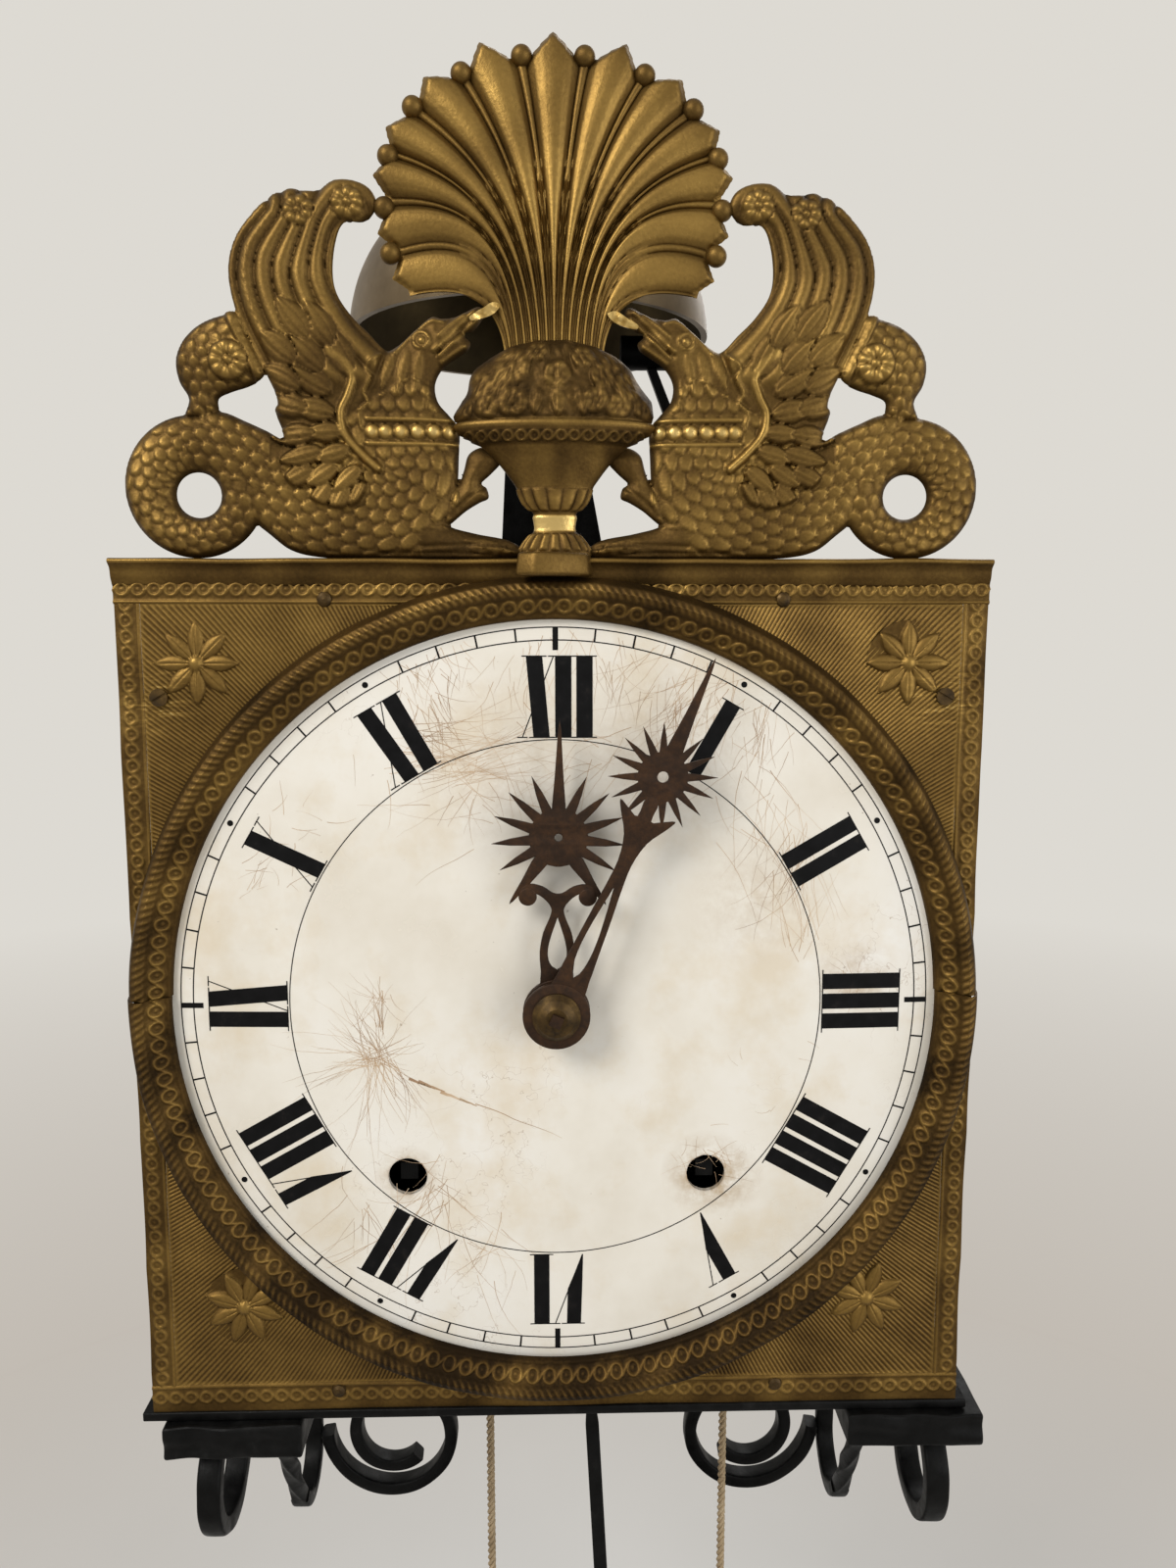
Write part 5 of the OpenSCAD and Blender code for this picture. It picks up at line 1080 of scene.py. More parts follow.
# %% Dragon's outline
DRAGON = smooth_line([
    (90, 150), (85, 145.5), (79, 141), (71, 139), (58, 138.4), (34, 138.4), (14, 138.4), (9.5, 140.5), (14, 144),
    (24, 146), (32, 148.5), (30.5, 153), (29, 160), (28.5, 168), (28.3, 176), (31, 180), (34.4, 184), (35.2, 189),
    (32.8, 193.6), (28.4, 196.8), (25.4, 198.8), (24.6, 201), (26.2, 202.6), (26.4, 203.6), (24, 204.2), (21.6, 206.8),
    (20.6, 209.4), (22.4, 211.2), (28.6, 208.4), (33, 207.8), (36, 208.2), (40.6, 204.4), (45.6, 200.2), (49.4, 198.6),
    (54, 203), (59, 208), (63, 214), (64, 220), (63, 228), (60.5, 233.5),
    (55, 234), (51, 238), (52.5, 242.6), (57, 245), (63, 245.2), (69, 242.2), (75, 242.8), (81, 240.8), (87, 235.5),
    (92, 228.5), (94, 220), (92.5, 210), (89, 202), (84.5, 192.5), (81, 184), (82, 180.5), (79.5, 173), (85, 175.6),
    (91, 178.3), (98, 181), (105, 180), (99, 168), (95, 158)])
TAIL_CURL = smooth_line([(89, 202), (92, 208.6), (98, 208), (104, 205.4), (108.6, 201), (110.8, 195.5), (110, 189.6),
                         (107.4, 184.6), (108.5, 179), (99.5, 180), (98.8, 184.6), (95, 186.6), (89, 188.6), (84.5, 192)])
FORELEG = smooth_line([(33, 148), (26.5, 152.6), (22.5, 155), (19.8, 156.4), (20.4, 159.4), (22, 160.6), (18.8, 163.6),
                       (15.6, 167.4), (18, 170.2), (22, 171), (25.6, 169), (27, 164.6), (28.6, 160.4), (32, 156)])


def dragon_depth(x, z):
    """How far a point lies inside the dragon's outline."""
    depth = np.maximum(inside_distance(x, z, DRAGON), 20.8 - np.hypot(x - 106.5, z - 159.4))
    depth = np.minimum(depth, np.hypot(x - 105.6, z - 157) - 6.6)
    return np.maximum(depth, np.maximum(inside_distance(x, z, TAIL_CURL), inside_distance(x, z, FORELEG)))


# %% Dragon's relief
BODY = smooth_line([(42, 196), (42, 185), (42, 175), (42, 160), (55, 150), (75, 152), (95, 168), (108, 176), (120, 170),
                    (124, 158), (118, 144), (105, 139.5), (94, 146), (91, 158)], 24, closed=False)
CURL = smooth_line([(104, 180), (105, 190), (103, 200), (95, 204), (89, 199)], 24, closed=False)
WING = smooth_line([(49.5, 200), (53, 190), (57, 181), (58, 173), (54, 166), (58, 155), (68, 154), (80, 163), (86, 178),
                    (88, 192), (96, 210), (96, 224), (88, 240), (70, 248), (50, 247), (47, 236), (58, 229), (61, 216), (53, 204)])
WING_INNER = smooth_line([(50, 197), (58, 205), (64, 214), (66, 222), (64, 231), (60, 236)], 24, closed=False)
WING_OUTER = smooth_line([(80, 180), (86, 193), (92, 206), (94.5, 218), (92, 229), (84, 238)], 24, closed=False)
WING_BAND = smooth_line([(65.4, 197.6), (61.2, 194.6), (58.8, 190.6), (60.2, 185.4), (62.4, 180.4), (61.4, 174.4), (57, 169), (52, 164.5)], 24, closed=False)
PLUMES = [(52, 158, -78, 8, 4), (56, 160.5, -66, 8, 4.2), (61, 160, -62, 9, 4.4), (66, 160, -52, 9, 4.4), (57, 165, -42, 9, 4.4),
          (64, 165.5, -34, 9, 4.6), (71, 164.5, -28, 9, 4.6), (60, 170, -16, 9, 4.6), (68, 169.5, -14, 11, 4.8), (62, 175, -3, 9, 4.6),
          (70, 174.5, -5, 11, 5), (64, 180, 12, 11, 5.5), (72, 181, 18, 12, 6), (65, 186, 32, 11, 6),
          (74, 187, 28, 11, 6.4), (59, 191, 62, 13, 6.4), (67, 192, 46, 12, 6.4), (75, 194.5, 40, 11, 6.4),
          (64, 199, 58, 12, 6.4), (71, 201, 52, 12, 6.4)]


def scale_relief(x, z, line, pitch, wide):
    """Rows of scales along a line, each row moved half a scale and lifted at its free end."""
    gap, travel, side = line_distance(x, z, line)
    best, lift = np.zeros_like(x), np.zeros_like(x)
    for ahead in (0, 1):
        count = np.floor(travel / pitch) + ahead
        from_row = travel - count * pitch
        across = ((side / wide + 0.5 * (count % 2) + 0.5) % 1 - 0.5) * wide
        inside = 1 - (from_row / (0.66 * pitch)) ** 2 - (across / (0.48 * wide)) ** 2
        # The lift also sets each scale's tone: darker where it starts under the scale before it and brighter at its
        # free rim, which is painted shade and painted highlight on top of the relief.
        lift = np.where(inside > best, np.clip(0.55 + 0.7 * from_row / pitch, 0.2, 1), lift)
        best = np.maximum(best, inside)
    return np.sqrt(np.clip(1.6 * best, 0, 1)) * lift, gap, travel


def dragon_relief(x, z, depth):
    """Height over the sheet's back and the wear of the dragon's front."""
    body, body_gap, travel = scale_relief(x, z, BODY, 4.2, 4.4)
    curl, curl_gap, _ = scale_relief(x, z, CURL, 3.6, 3.8)
    scales = np.where(curl_gap < body_gap, curl, body)
    in_wing = step_up(inside_distance(x, z, WING), -0.8, 0.6)
    low_body = ((z < 191 - 0.6 * np.abs(x - 42)) | (x > 84)) & ((z > 147) | (x > 40)) & (x > 29)
    plumes = np.zeros_like(x)
    for at_x, at_z, aim, length, wide in PLUMES:
        relief = plume(x, z, (at_x, at_z), aim, 1.2 * length, 1.3 * wide)
        plumes = np.where(relief > 0.15, relief, plumes)
    in_wing = np.where((z < 172) | (x + z < 240), in_wing * (plumes > 0), in_wing)
    detail = scales * step_up(depth, 0.3, 1.6) * low_body * (1 - in_wing)
    ground = bulge(depth, 9, 3.4)
    collar = step_up(z, 171, 171.8) * (1 - step_up(z, 178.4, 179.2)) * step_up(56 - x, 0, 1) * (x < 60) * (z > 168)
    detail = detail * (1 - collar)
    for at in (30.8, 35.4, 40.2, 45, 49.6, 53.4):
        detail = np.maximum(detail, 1.35 * np.sqrt(np.clip(1 - ((x - at) ** 2 + (z - 175.1) ** 2) / 2.35 ** 2, 0, 1)))
    for at in (171.6, 178.6):
        detail = np.maximum(detail, 1.1 * np.exp(-((z - at - 0.01 * (x - 40)) / 0.7) ** 2) * step_up(56 - x, 0, 1) * (x < 60))
    inner, along, _ = line_distance(x, z, WING_INNER)
    outer, _, _ = line_distance(x, z, WING_OUTER)
    share = inner / np.maximum(inner + outer, 0.01) * 5.6
    feather = np.abs(share % 1 - 0.5) * 2
    long_feathers = np.clip(1 - feather ** 2, 0, 1) ** 0.8
    barbs = 0.07 * np.sin(math.tau * (along + 3 * feather) / 1.3) * step_up(share, 3.6, 4.4) * (1 - feather ** 2)
    wing = (long_feathers + barbs) * step_up(z, 186, 192)
    wing_high = np.where(plumes > 0, 0.6 + 1.9 * plumes, 1.7 * wing)
    wing = np.where(plumes > 0, plumes, wing)
    band_gap, _, _ = line_distance(x, z, WING_BAND)
    band = np.sqrt(np.clip(1 - (band_gap / 1.5) ** 2, 0, 1))
    height = ground + 0.95 * detail + in_wing * (wing_high + 0.6)
    height = np.maximum(height, (ground + 2.3 * band) * (band > 0))
    detail = np.maximum(detail * (1 - in_wing), in_wing * 0.72 * wing)
    detail = np.maximum(detail, band)
    for at, r, petals in (((73, 236.5), 4.6, 7), ((59, 238.6), 4.8, 8), ((94.5, 195), 5.8, 9)):
        near = rosette_relief(x, z, at, r, petals)
        spot = np.hypot(x - at[0], z - at[1]) < r
        height = np.where(spot, np.maximum(ground + 1.0 + 1.6 * near, 0), height)
        detail = np.where(spot, near, detail)
    for locks in ((27, 144, 192, 13, 3.4), (26, 141.8, 186, 14, 3.2), (31, 139.8, 181, 16, 2.8), (39, 198, -82, 13, 3), (43, 199, -78, 14, 3.2), (46.5, 200, -72, 14, 3.2), (37, 190, -88, 9, 2.6)):
        lock = plume(x, z, locks[:2], *locks[2:])
        height += 1.0 * lock
        detail = np.maximum(detail, 0.8 * lock)
    for line in ([(23, 208.2), (26.8, 204.8), (31, 200.6), (35, 197)], [(25, 207.8), (29, 204.2), (33, 200.2)],
                 [(11, 141.5), (24, 142.6), (40, 142)], [(16, 139.6), (30, 140.2), (52, 140)], [(20, 160), (26, 156), (31, 151)]):
        groove = np.exp(-(line_distance(x, z, smooth_line(line, 20, closed=False))[0] / 0.55) ** 2)
        height -= 0.8 * groove
        detail = detail * (1 - 0.6 * groove) - 0.15 * groove
    for line in ([(23.5, 209.5), (27, 206.1), (31, 202.1), (35, 198.3)], [(22.6, 207.2), (26, 203.9), (30, 200), (33.5, 196.8)],
                 [(26.4, 208.6), (30, 205.8), (33.6, 202.4)], [(26, 199.6), (29, 197.8), (33, 195)],
                 [(32.6, 206.4), (36, 206.8), (39.8, 204.4), (43.4, 201), (46.4, 197.6)],
                 [(50.5, 197), (54.5, 193.4), (53.4, 190), (55.6, 186.4), (54.6, 183.4), (57.2, 180), (56.4, 176)]):
        ridge = np.exp(-(line_distance(x, z, smooth_line(line, 20, closed=False))[0] / 0.6) ** 2)
        height += 0.9 * ridge
        detail = np.maximum(detail, 0.8 * ridge)
    eye_gap = np.hypot(x - 38.8, z - 201.2)
    eye = np.sqrt(np.clip(1 - (eye_gap / 1.3) ** 2, 0, 1)) + 0.8 * np.exp(-((eye_gap - 2.3) / 0.45) ** 2)
    return height + 0.9 * eye, np.maximum(detail, 0.9 * eye)


def thickened(piece, x, z, height, wear_and_painted_light, forward=0.0):
    """Gives a cut sheet its relief, its tone of wear and painted light, and its thickness."""
    place(piece, np.stack([x, PLATE - forward - height, z], axis=1))
    mark_wear_and_painted_light(piece, wear_and_painted_light)
    apply_modifier(piece, "SOLIDIFY", thickness=0.0006, offset=-1)
    polish(piece, 80)
    return piece


right_dragon, x, z = cut_sheet("right_dragon", dragon_depth, (8, 137), (128.5, 246), 0.5)
depth = np.maximum(dragon_depth(x, z), 0)
height, detail = dragon_relief(x, z, depth)
thickened(right_dragon, x, z, 0.7 + height,
          0.21 + 0.45 * np.clip(detail, 0, 2) ** 1.5 + 0.07 * bulge(depth, 8, 1) + 0.06 * ripple(x, z, 26, 2)
          - 0.04 * step_up(z, 196, 215))

# %% Left dragon as the mirrored right one
bpy.ops.object.duplicate()
left_dragon = fresh("left_dragon")
points = millimetres(left_dragon)
points[:, 0] *= -1
place(left_dragon, points)
edit(left_dragon)
bpy.ops.mesh.select_all(action="SELECT")
bpy.ops.mesh.flip_normals()
bpy.ops.object.mode_set(mode="OBJECT")

wear_and_light_layer = right_dragon.data.attributes["wear_and_painted_light"]
wear_and_painted_light = np.empty(len(wear_and_light_layer.data), np.float32)
wear_and_light_layer.data.foreach_get("value", wear_and_painted_light)
lower_half = 1 - step_up(millimetres(right_dragon)[:, 2], 190, 215)
wear_and_light_layer.data.foreach_set("value", np.clip(wear_and_painted_light + 0.06 * lower_half, 0, 1))

# %% Sheaf of leaves
TIPS = np.array([(0, 286), (21, 283), (37, 273.5), (48, 260), (52, 247), (51, 231), (47, 218.5), (44, 209)], float)
BEADS = [(9, 279.2), (26.2, 274.4), (40.2, 265.3), (47.5, 252.1), (48.9, 238), (47.4, 225.4)]
tip_line = smooth_line(np.concatenate([TIPS[:0:-1] * (-1, 1), TIPS]), 40, closed=False)
sheaf, i, j = grid("sheaf", 13 * 24 + 1, 84)
leaf = mix(-6.5, 6.5, i / (13 * 24))
part = leaf - np.round(leaf)
up = (j / 83) ** 0.9
tip = tip_line[np.round((leaf + 7) * 40).astype(int)]
foot = np.stack([leaf * 2.15, 0 * leaf + 198], axis=1)
bow = np.stack([foot[:, 0] * 1.2, np.minimum(245, 198 + 1.5 * (tip[:, 1] - 198))], axis=1)
size = 2 * np.linalg.norm(tip - bow, axis=1)
drop = mix(6.4, 3.6, step_up(np.abs(leaf), 0.9, 2.6)) * np.clip(np.abs(part) / 0.34, 0, 1) ** 1.05
t = (up * (1 - drop / size))[:, None]
line = (1 - t) ** 2 * foot + 2 * t * (1 - t) * bow + t ** 2 * tip
t = t[:, 0]
lobe_half = mix(0.2, 0.4, step_up(t, 0.1, 0.7))
lobe = np.sqrt(np.clip(1 - (part / lobe_half) ** 2, 0, 1))
ridge = np.exp(-((np.abs(part) - 0.5) / 0.035) ** 2) + 0.7 * np.exp(-((np.abs(part) - lobe_half - 0.065) / 0.03) ** 2)
edge = step_up(np.minimum(1 - up, 1) * size, 0, 2.5)
room = mix(2.1, np.linalg.norm(tip - foot, axis=1) * 0.16, t)
height = 1.8 + edge * (np.clip(0.26 * room, 0.4, 3.0) * lobe + np.clip(0.13 * room, 0.3, 0.8) * ridge) + 1.0 * np.sin(math.pi * t)
wear_and_painted_light = (0.37 + 0.28 * lobe * (1 - 0.5 * step_up(t, 0.84, 1)) + 0.3 * ridge * (1 - 0.8 * t)
        + 0.07 * ripple(line[:, 0], line[:, 1], 24, 6))
thickened(sheaf, line[:, 0], line[:, 1], height, wear_and_painted_light)
beads = []
for at_x, at_z in BEADS:
    for side in (-1, 1):
        bpy.ops.object.select_all(action="DESELECT")
        bpy.ops.mesh.primitive_uv_sphere_add(segments=20, ring_count=12, radius=0.0031, location=row((side * at_x, PLATE - 2.2, at_z)))
        bead = fresh("bead")
        bpy.ops.object.transform_apply(location=True)
        mark_wear_and_painted_light(bead, np.full(len(bead.data.vertices), 0.42))
        polish(bead)
        beads.append(bead)
sheaf = joined("sheaf", [sheaf, *beads])
print("sheaf", len(sheaf.data.polygons), "faces")

# %% [markdown]
# The urn is a turned shape pressed flat, so it is swept round half a turn and squeezed in depth. Its
# foot and bowl have flutes and drops, a band of rings runs under the sharp rim, and the flowers above
# are dull and greyer. Its stem was once mended, and the bare metal there is bright.

# %% Urn of flowers
URN = np.array([(10.4, 138.4), (11, 139.6), (10.8, 140.4), (8.9, 143.3), (6.9, 145.6), (6.3, 146.4), (6.1, 147.4), (6.3, 149),
                (6.6, 150.4), (6.3, 151.4), (6.8, 152.2), (8.9, 154.3), (10.3, 156.8), (11.2, 158.6), (11.8, 159.8),
                (14.6, 163.6), (18, 167.8), (21.6, 170.9), (23.4, 171.6), (26, 173.2), (28.4, 174.6), (29.4, 175.6),
                (29.8, 176.4), (29.5, 177.2), (28.6, 177.8), (29.3, 179.6), (28.6, 184), (25.6, 188.6), (22.4, 193),
                (18, 196.6), (13, 199.3), (6, 201)], float)
urn, i, j = grid("urn", 221, 150)
order = np.interp(np.linspace(0, 1, 150), np.linspace(0, 1, len(URN)), np.arange(len(URN)))
r = np.interp(order, np.arange(len(URN)), URN[:, 0])[j]
z = np.interp(order, np.arange(len(URN)), URN[:, 1])[j]
turn = mix(-math.pi / 2, math.pi / 2, i / 220)
x = r * np.sin(turn)


def between(z, low, high):
    """1 between two heights and 0 outside, with soft ends."""
    return step_up(z, low, low + 0.6) * (1 - step_up(z, high - 0.6, high))


FLOWERS = [(0.9, 190.2, 4.2, 5), (-12.5, 193, 6, 12), (-11.7, 182.4, 4.6, 9), (-19, 181.2, 3.8, 5), (-26, 180.6, 3, 4),
           (-22, 187.5, 4.2, 7), (-16, 187.5, 3, 6), (12, 183, 4, 7), (19, 181.4, 3.8, 6), (26, 181, 3, 5), (22, 187.5, 4.4, 8),
           (14, 190, 4, 7), (8, 195.5, 3.4, 6), (17, 194.5, 3.4, 6), (-5, 197, 3.2, 6)]
LEAVES = [(-5, 186.5, -95, 8, 4.4), (1, 186.5, -88, 9, 4.6), (7, 186, -75, 8, 4), (-8, 190, 150, 7, 3), (6, 192, 30, 7, 3),
          (-2, 195, 100, 6, 3), (3, 196, 70, 6, 3)]
flutes = np.abs(np.cos(turn * 9)) * between(z, 140.4, 146)
drops = np.abs(np.cos(turn * 7)) ** 0.8 * between(z, 152, 159) * np.clip((159.4 - z) / 4, 0, 1) ** 0.5
band = chain(x, z - 173.0, 3.8, 1.35, 0.36) * between(z, 171.2, 175)
petals = np.zeros_like(x)
for at_x, at_z, radius, count in FLOWERS:
    petals = np.maximum(petals, rosette_relief(x, z, (at_x, at_z), radius, count) * (np.hypot(x - at_x, z - at_z) < radius))
for at_x, at_z, aim, length, wide in LEAVES:
    petals = np.maximum(petals, 0.95 * plume(x, z, (at_x, at_z), aim, length, wide))
flowers = step_up(z, 177.8, 178.6)
crumbs = 0.6 * np.clip(ripple(x, z, 4, 14), -1, 1) * flowers
relief = 0.9 * flutes + 1.1 * drops + 0.7 * band + flowers * (1.9 * petals + crumbs)
rim = np.exp(-((z - 176.6) / 0.8) ** 2)
streaks = 0.07 * ripple(x, 0 * z, 9, 5) * between(z, 159, 171)
wear_and_painted_light = (0.34 + 0.06 * between(z, 159, 171) + streaks + 0.3 * (flutes - 0.5) * between(z, 140.4, 146)
        + 0.4 * (drops - 0.4) * between(z, 152, 159) + 0.3 * band - 0.16 * between(z, 171.2, 175) + 0.25 * rim
        + flowers * (0.26 * petals ** 2 - 0.15) + 0.62 * between(z, 146.2, 151.4) + 0.06 * ripple(x, z, 12, 19))
swell = 1 + relief / np.maximum(r, 4)
depth_front = PLATE - 3 - 0.36 * r * np.cos(turn) - 0.75 * relief * np.cos(turn)
knobby = 1 + 0.035 * ripple(6 * turn, z, 7, 4)
place(urn, np.stack([x * np.where(flowers > 0, knobby, swell), depth_front, z], axis=1))
mark_wear_and_painted_light(urn, wear_and_painted_light)
apply_modifier(urn, "SOLIDIFY", thickness=0.0008, offset=-1)
polish(urn, 70)

bpy.ops.object.select_all(action="DESELECT")
bpy.ops.mesh.primitive_cone_add(vertices=8, radius1=0.0138, radius2=0.0127, depth=0.0068, location=row((0, PLATE - 6.1, 136.6)),
                                rotation=(0, 0, math.radians(22.5)))
bpy.ops.transform.resize(value=(1, 0.42, 1))
urn_base = fresh("urn_base")
bpy.ops.object.transform_apply(location=True, rotation=True, scale=True)
apply_modifier(urn_base, "BEVEL", width=0.0011, segments=3)
mark_wear_and_painted_light(urn_base, np.full(len(urn_base.data.vertices), 0.46))
polish(urn_base)

SOLDER = np.array([(15.6, 208.6), (18, 209.4), (21, 207.6), (24.4, 205.6), (24, 204.4), (21, 204.8), (17.4, 206.4)])
splashes = []
for side, lift in ((1, 0), (-1, 2.2)):
    edge = smooth_line(SOLDER * (side, 1) + (0, lift))
    splash, x, z = cut_sheet("solder_splash", lambda x, z: inside_distance(x, z, edge), edge.min(0) - 0.5, edge.max(0) + 0.5, 0.35)
    splashes.append(thickened(splash, x, z, 4.4 + 0.3 * ripple(x, z, 4, 3), 0.9 + 0.1 * ripple(x, z, 3, 8)))

urn = joined("urn_relief", [urn, urn_base, *splashes])
for piece in (right_dragon, left_dragon, sheaf, urn):
    dress(piece, stamped_brass, "case", ["crest"])

# %% [markdown]
# ## The hands
# Each hand is cut from sheet steel: a long loop, a spiky sun and a tapered point. The outlines are
# filled curves with a small bevel, turned into a mesh, and they stand on the bodies of their joints.

# %% Hands


def sun(disc, reach, rays, skip):
    """A spiky sun as one outline, without the rays that the pointer and the legs take."""
    points = []
    for k in range(rays):
        ray = [(disc, -0.3), (disc, 0.3)] if k in skip else [(disc, -0.42), (reach * 0.72, -0.17), (reach, 0), (reach * 0.72, 0.17), (disc, 0.42)]
        points += [(far * math.sin((k + turn) * math.tau / rays), far * math.cos((k + turn) * math.tau / rays)) for far, turn in ray]
    return points


def drop_loop(low, high, half):
    side = [(half * math.sin(math.pi * (s / 16) ** 0.6), low + (high - low) * s / 16) for s in range(17)]
    return side + [(-x, z) for x, z in side[-2:0:-1]]


def circle(at, r, steps=28):
    return [(at[0] + r * math.cos(k * math.tau / steps), at[1] + r * math.sin(k * math.tau / steps)) for k in range(steps)]


def flat_piece(name, outlines, depth, thick, angle, bevel=0.16):
    """Fills outlines as a plate with softened edges, turned clockwise about the dial's centre."""
    curve = bpy.data.curves.new(name, "CURVE")
    curve.dimensions, curve.fill_mode = "2D", "BOTH"
    curve.extrude, curve.bevel_depth, curve.bevel_resolution = thick / 2 - bevel, bevel, 2
    curve.offset = -bevel
    for outline in outlines:
        spline = curve.splines.new("POLY")
        spline.points.add(len(outline) - 1)
        spline.points.foreach_set("co", np.array([(x, z, 0, 1) for x, z in outline], np.float32).ravel())
        spline.use_cyclic_u = True
    bpy.ops.object.select_all(action="DESELECT")
    piece = bpy.data.objects.new(name, curve)
    bpy.context.collection.objects.link(piece)
    piece.select_set(True)
    bpy.context.view_layer.objects.active = piece
    bpy.ops.object.convert(target="MESH")
    piece = fresh(name)
    points = np.empty(len(piece.data.vertices) * 3, np.float32)
    piece.data.vertices.foreach_get("co", points)
    u, v, w = points.reshape(-1, 3).T
    c, s = math.cos(math.radians(angle)), math.sin(math.radians(angle))
    place(piece, np.stack([u * c + v * s, depth - w, v * c - u * s], axis=1))
    close_up(piece)
    polish(piece, 35)
    return piece


def mirrored(right):
    return list(right) + [(-x, z) for x, z in right[::-1]]


def point(half, low, high):
    """A slim point that narrows in a slight hollow."""
    right = [(half, low), (0.55 * half, mix(low, high, 0.45)), (0.5, high - 3)]
    return right + [(0, high)] + [(-x, z) for x, z in right[::-1]]


MINUTE_AT, HOUR_AT = 23.5, 0.8
minute_blade = smooth_line(mirrored([(4.8, 6), (4.9, 14), (4.3, 22), (3.4, 34), (2.6, 43), (2.2, 52), (3.8, 60), (7.4, 66),
                                     (9, 69.4), (5.5, 67.8), (2.2, 66.6), (2.0, 73)]), 3)
minute_sun = [(x, z + 80.4) for x, z in sun(7.6, 16.5, 16, (0, 8))]
minute_parts = [
    flat_piece("minute_blade", [minute_blade, drop_loop(13, 44, 2.2)], -10.9, 1.2, MINUTE_AT),
    flat_piece("minute_sun", [minute_sun, circle((0, 80.4), 1.7)], -10.9, 1.16, MINUTE_AT),
    flat_piece("minute_point", [point(2.8, 86, 119)], -10.92, 1.1, MINUTE_AT),
    flat_piece("minute_hub", [circle((0, 0), 10.4, 64)], -10.95, 1.7, MINUTE_AT, 0.3)]
hour_stem = smooth_line(mirrored([(4.4, 7), (5, 13), (5.4, 19), (4.4, 25), (2.4, 30), (2.0, 33), (4.4, 36), (7.5, 37.6), (10.5, 36.5),
                                  (11.6, 38.5), (8.6, 40.4), (4.6, 39.6), (1.4, 37.6)]), 3)
hour_sun = [(x, z + 54.8) for x, z in sun(9, 20.5, 15, (0, 7, 8))]
hour_parts = [
    flat_piece("hour_stem", [hour_stem, drop_loop(13.5, 30, 2.9)], -6.9, 1.2, HOUR_AT),
    flat_piece("hour_sun", [hour_sun, circle((0, 54.8), 1.2)], -6.9, 1.16, HOUR_AT),
    flat_piece("hour_point", [point(2.3, 61.5, 90.5)], -6.92, 1.1, HOUR_AT),
    flat_piece("hour_hub", [circle((0, 0), 10.4, 64)], -6.9, 1.7, HOUR_AT, 0.3)]
for side in (-1, 1):
    leg = [(2.6, 48), (7.2, 42), (14.8, 34), (10.8, 42), (6.5, 49.5)][::side]
    hour_parts.append(flat_piece(f"hour_leg_{side}", [smooth_line([(side * x, z) for x, z in leg], 4)], -6.88, 1.1, HOUR_AT))
    hour_parts.append(flat_piece(f"hour_ball_{side}", [circle((side * 9.2, 36.4), 2.8)], -6.95, 1.4, HOUR_AT, 0.4))
dress(joined("minute_hand_steel", minute_parts), hand_steel, "minute_hand", ["minute_hand"])
dress(joined("hour_hand_steel", hour_parts), hand_steel, "hour_hand", ["hour_hand"])

# %% [markdown]
# ## The bell
# The bell is a turned cup of cast metal over the case, dull grey outside and brown within. Its section
# is bent round an upright axis, and the faces that look at the axis get the inner finish.

# %% Bell
BELL_AT, BELL_RADIUS, BELL_HIGH, BELL_WALL = (-9.0, 85.0, 221.0), 64.0, 48.0, 2.2


def bell_section(r, high, steps):
    turn = np.linspace(0, math.pi / 2, steps)
    return np.stack([r * np.cos(turn) ** 0.62, high * np.sin(turn) ** 1.1], axis=1)


outside = bell_section(BELL_RADIUS, BELL_HIGH, 34)
inside = bell_section(BELL_RADIUS - BELL_WALL, BELL_HIGH - BELL_WALL, 34)[::-1]
section = np.concatenate([outside, inside, outside[:1]])
section[:, 0] = np.maximum(section[:, 0], 3.0)
bell, i, j = grid("bell_cup", 97, len(section))
turn = math.tau * i / 96
place(bell, np.stack([BELL_AT[0] + section[j, 0] * np.cos(turn), BELL_AT[1] + section[j, 0] * np.sin(turn), BELL_AT[2] + section[j, 1]], axis=1))
close_up(bell)
polish(bell, 45)
dress(bell, bell_outside, "case", ["bell"])
bell.data.materials.append(bell_inside)
middle = row(np.array(BELL_AT) + (0, 0, 14))
for face in bell.data.polygons:
    face.material_index = int(face.normal.dot(face.center - face.center.__class__(middle)) < 0)

# %% [markdown]
# ## The forged bracket
# Two flat arms hold the clock, and under each runs a scroll: a ring in front, a twisted brace, a bend
# and a limb against the wall, with a flat spiral beside it. A bar is a rounded rectangle swept along a
# line, with an optional twist, and its faces get a smith's small dents.

# %% Forged bars


def on_wall(points):
    """Millimetres in the frame to millimetres from the dial's centre."""
    return np.asarray(points, float) - DIAL_CENTRE


